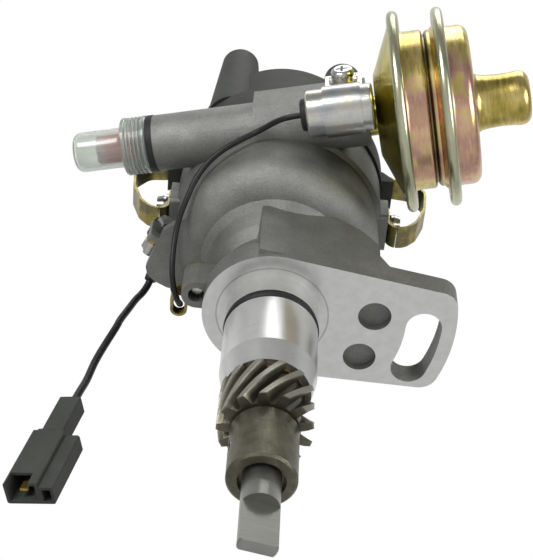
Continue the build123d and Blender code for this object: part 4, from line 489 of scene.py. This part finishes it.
# Collar where the primary lead comes out from behind the shelf
COLLAR_AT, COLLAR_RUN = Vector((-51.3, 8.0, 46.2)), Vector((-2.2, 3.2, -4.4))
COLLAR_R, COLLAR_LEN = 2.4, 3.4
clear_selection()
bpy.ops.mesh.primitive_cylinder_add(
    vertices=40, radius=COLLAR_R * MM, depth=COLLAR_LEN * MM, location=COLLAR_AT * MM,
    rotation=COLLAR_RUN.to_track_quat("Z", "Y").to_euler())
modify("BEVEL", width=0.7 * MM, segments=3, limit_method="ANGLE")
collar = finish_piece("lead_collar", "rubber", "housing", "lead_sleeve")

# Toothed washer under the condenser's screw
WASHER_AT, WASHER_R, WASHER_T, TOOTH = (33, -51.7, 77.6), 4.9, 0.8, 0.7
clear_selection()
bpy.ops.mesh.primitive_cylinder_add(
    vertices=28, radius=WASHER_R * MM, depth=WASHER_T * MM, location=[v * MM for v in WASHER_AT],
    rotation=(math.pi / 2, 0, 0))
bpy.ops.object.mode_set(mode="EDIT")
bpy.ops.mesh.select_all(action="DESELECT")
bpy.context.tool_settings.mesh_select_mode = (False, False, True)
shape = bmesh.from_edit_mesh(bpy.context.object.data)
sides = [face for face in shape.faces if abs(face.normal.z) < 0.5]
sides.sort(key=lambda face: math.atan2(face.normal.y, face.normal.x))
for face in sides[::2]:
    face.select_set(True)
bmesh.update_edit_mesh(bpy.context.object.data)
bpy.ops.mesh.extrude_region_shrink_fatten(TRANSFORM_OT_shrink_fatten={"value": TOOTH * MM})
bpy.ops.object.mode_set(mode="OBJECT")
modify("BEVEL", width=0.12 * MM, segments=2, limit_method="ANGLE")
finish_piece("toothed_washer", "zinc_bright", "housing")


# Coils copied from their solids

def pressed_coil(name, node, body, along, far_end):
    """A copy of a packed coil, with doubled points merged, on its body in place of the solid."""
    low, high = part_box(node)
    seat = [(a + b) / 2 for a, b in zip(low, high)]
    seat[along] = far_end
    clear_selection()
    piece = nodes[node].copy()
    piece.data = nodes[node].data.copy()
    bpy.context.scene.collection.objects.link(piece)
    piece.name = name
    bpy.context.view_layer.objects.active = piece
    piece.select_set(True)
    bpy.ops.object.mode_set(mode="EDIT")
    bpy.ops.mesh.select_all(action="SELECT")
    bpy.ops.mesh.remove_doubles(threshold=0.002 * MM)
    bpy.ops.object.mode_set(mode="OBJECT")
    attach(piece, body)
    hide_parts(node)
    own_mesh(piece)


pressed_coil("diaphragm_coil", "vacuum_spring", "housing", 0, 0.0699)
pressed_coil("brush_coil", "brush_spring", "cap", 2, 0.1229)


# Leads: the condenser's route is that of the part's source, and the primary's comes out behind the
# shelf, as in the photo

def lead(name, points, diameter, node):
    """A round lead along points in mm, in place of the solid that stands for it."""
    clear_selection()
    curve = bpy.data.curves.new(name, "CURVE")
    curve.dimensions = "3D"
    line = curve.splines.new("NURBS")
    line.points.add(len(points) - 1)
    for knot, place in zip(line.points, points):
        knot.co = (*(v * MM for v in place), 1)
    line.order_u = 3
    line.use_endpoint_u = True
    line.resolution_u = 12
    curve.bevel_depth = diameter / 2 * MM
    curve.bevel_resolution = 5
    curve.use_fill_caps = True
    piece = bpy.data.objects.new(name, curve)
    bpy.context.scene.collection.objects.link(piece)
    curve.materials.append(finishes["lead_black"])
    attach(piece, "housing")
    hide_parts(node)


condenser_route = [
    (17.1, -50.6, 53.8), (12.2, -50.6, 53.8), (7.3, -48.6, 55.5), (0.2, -43.6, 59.2), (-7.4, -42.6, 55.7),
    (-14.4, -41, 52.5), (-20.5, -38, 49.4), (-25.5, -34, 44.7), (-29, -29.5, 39.8), (-32.4, -24.5, 36),
    (-34.8, -19.2, 31.2), (-36.1, -14.3, 24), (-36.9, -9, 18.6), (-36.5, -2.9, 15.8), (-36.4, 2.7, 17.6),
    (-36.9, 6.4, 22.8), (-38.6, 9, 28.2), (-40.6, 11.6, 33.6), (-42.2, 13, 39), (-43.2, 11.2, 43.4),
    (-43.4, 7, 46), (-41.9, -1.4, 46),
]
primary_route = [
    (-46.3, -3.0, 50.4), (-48.3, 2, 50.2), (-50.2, 6.4, 48.4), (-52.4, 9.6, 44), (-54.7, 10.7, 39.5),
    (-56.6, 9.9, 34.8), (-58.3, 8.2, 25.3), (-59.8, 6.4, 17), (-60.1, 5.6, 12), (-62.6, 5.9, 4),
    (-64.8, 5.4, -6), (-65.7, 5, -12), (-66.3, 3.9, -22), (-67, 1.6, -31), (-67.8, -0.1, -40.2),
]
lead("condenser_lead_line", condenser_route, 2.2, "condenser_lead")
lead("primary_lead_line", primary_route, 2.8, "primary_lead")


# Stage, light and camera

clear_selection()
bpy.ops.mesh.primitive_plane_add(size=12, location=(0, 0, -1.3))
floor = bpy.context.object
floor.name = "floor"
paper = bpy.data.materials.new("white_paper")
paper.use_nodes = True
paper_inputs = paper.node_tree.nodes["Principled BSDF"].inputs
paper_inputs["Base Color"].default_value = (0.85, 0.85, 0.85, 1)
paper_inputs["Roughness"].default_value = 0.8
floor.data.materials.append(paper)

scene = bpy.context.scene
scene.view_settings.view_transform = "Standard"
CAMERA_AT = Vector((0.06096, -0.28679, -0.40609))
RIGHT = Vector((0.98626, 0.16036, 0.03966))
DOWN = Vector((-0.11046, 0.8187, -0.5635))
AHEAD = Vector((-0.12284, 0.55138, 0.82516))
LIT_POINT = Vector((0.0, -0.01, 0.03))  # the lamps face it
WHITE = (1, 1, 1, 1)

# White behind the object, for the eye and for clear plastic, and a dimmer room behind the camera,
# which metal reflects
world = bpy.data.worlds.new("studio")
scene.world = world
sky = Shading(world)
toward = sky.node("VectorMath", {"operation": "DOT_PRODUCT"},
                  {0: sky.node("TexCoord", output="Generated"), 1: AHEAD}, output="Value")
plain = sky.node("Background", inputs={"Color": WHITE, "Strength": 0.6})
mirrored = sky.node("Background", inputs={
    "Color": WHITE, "Strength": toward.rises(-0.1, 0.85) * 0.54 + 0.26})
white = sky.node("Background", inputs={"Color": WHITE, "Strength": 1.0})
for_metal = sky.node("MixShader", inputs={
    0: sky.node("LightPath", output="Is Glossy Ray"), 1: plain, 2: mirrored})
seen = sky.node("LightPath", output="Is Camera Ray").most(
    sky.node("LightPath", output="Is Transmission Ray"))
sky.node("OutputWorld", inputs={"Surface": sky.node("MixShader", inputs={0: seen, 1: for_metal, 2: white})})


def softbox(name, right, up, back, size, watts):
    """A square lamp placed from the camera's side: metres to its right, up and towards it."""
    at = LIT_POINT + RIGHT * right - DOWN * up - AHEAD * back
    lamp = bpy.data.lights.new(name, "AREA")
    lamp.shape = "SQUARE"
    lamp.size = size
    lamp.energy = watts
    holder = bpy.data.objects.new(name, lamp)
    scene.collection.objects.link(holder)
    holder.location = at
    holder.rotation_mode = "QUATERNION"
    holder.rotation_quaternion = (at - LIT_POINT).to_track_quat("Z", "Y")


softbox("key_lamp", -0.55, 0.75, 0.75, 0.5, 10)
softbox("fill_lamp", 0.9, 0.1, 0.6, 0.6, 5)
softbox("rim_lamp", 0.2, 0.9, -0.5, 0.6, 3)

camera_data = bpy.data.cameras.new("camera")
camera_data.sensor_width = 36
camera_data.lens = 89.45
camera_data.clip_start, camera_data.clip_end = 0.01, 50
camera = bpy.data.objects.new("camera", camera_data)
scene.collection.objects.link(camera)
turn = Matrix((RIGHT, -DOWN, -AHEAD)).transposed()
camera.matrix_world = Matrix.Translation(CAMERA_AT) @ turn.to_4x4()
scene.camera = camera
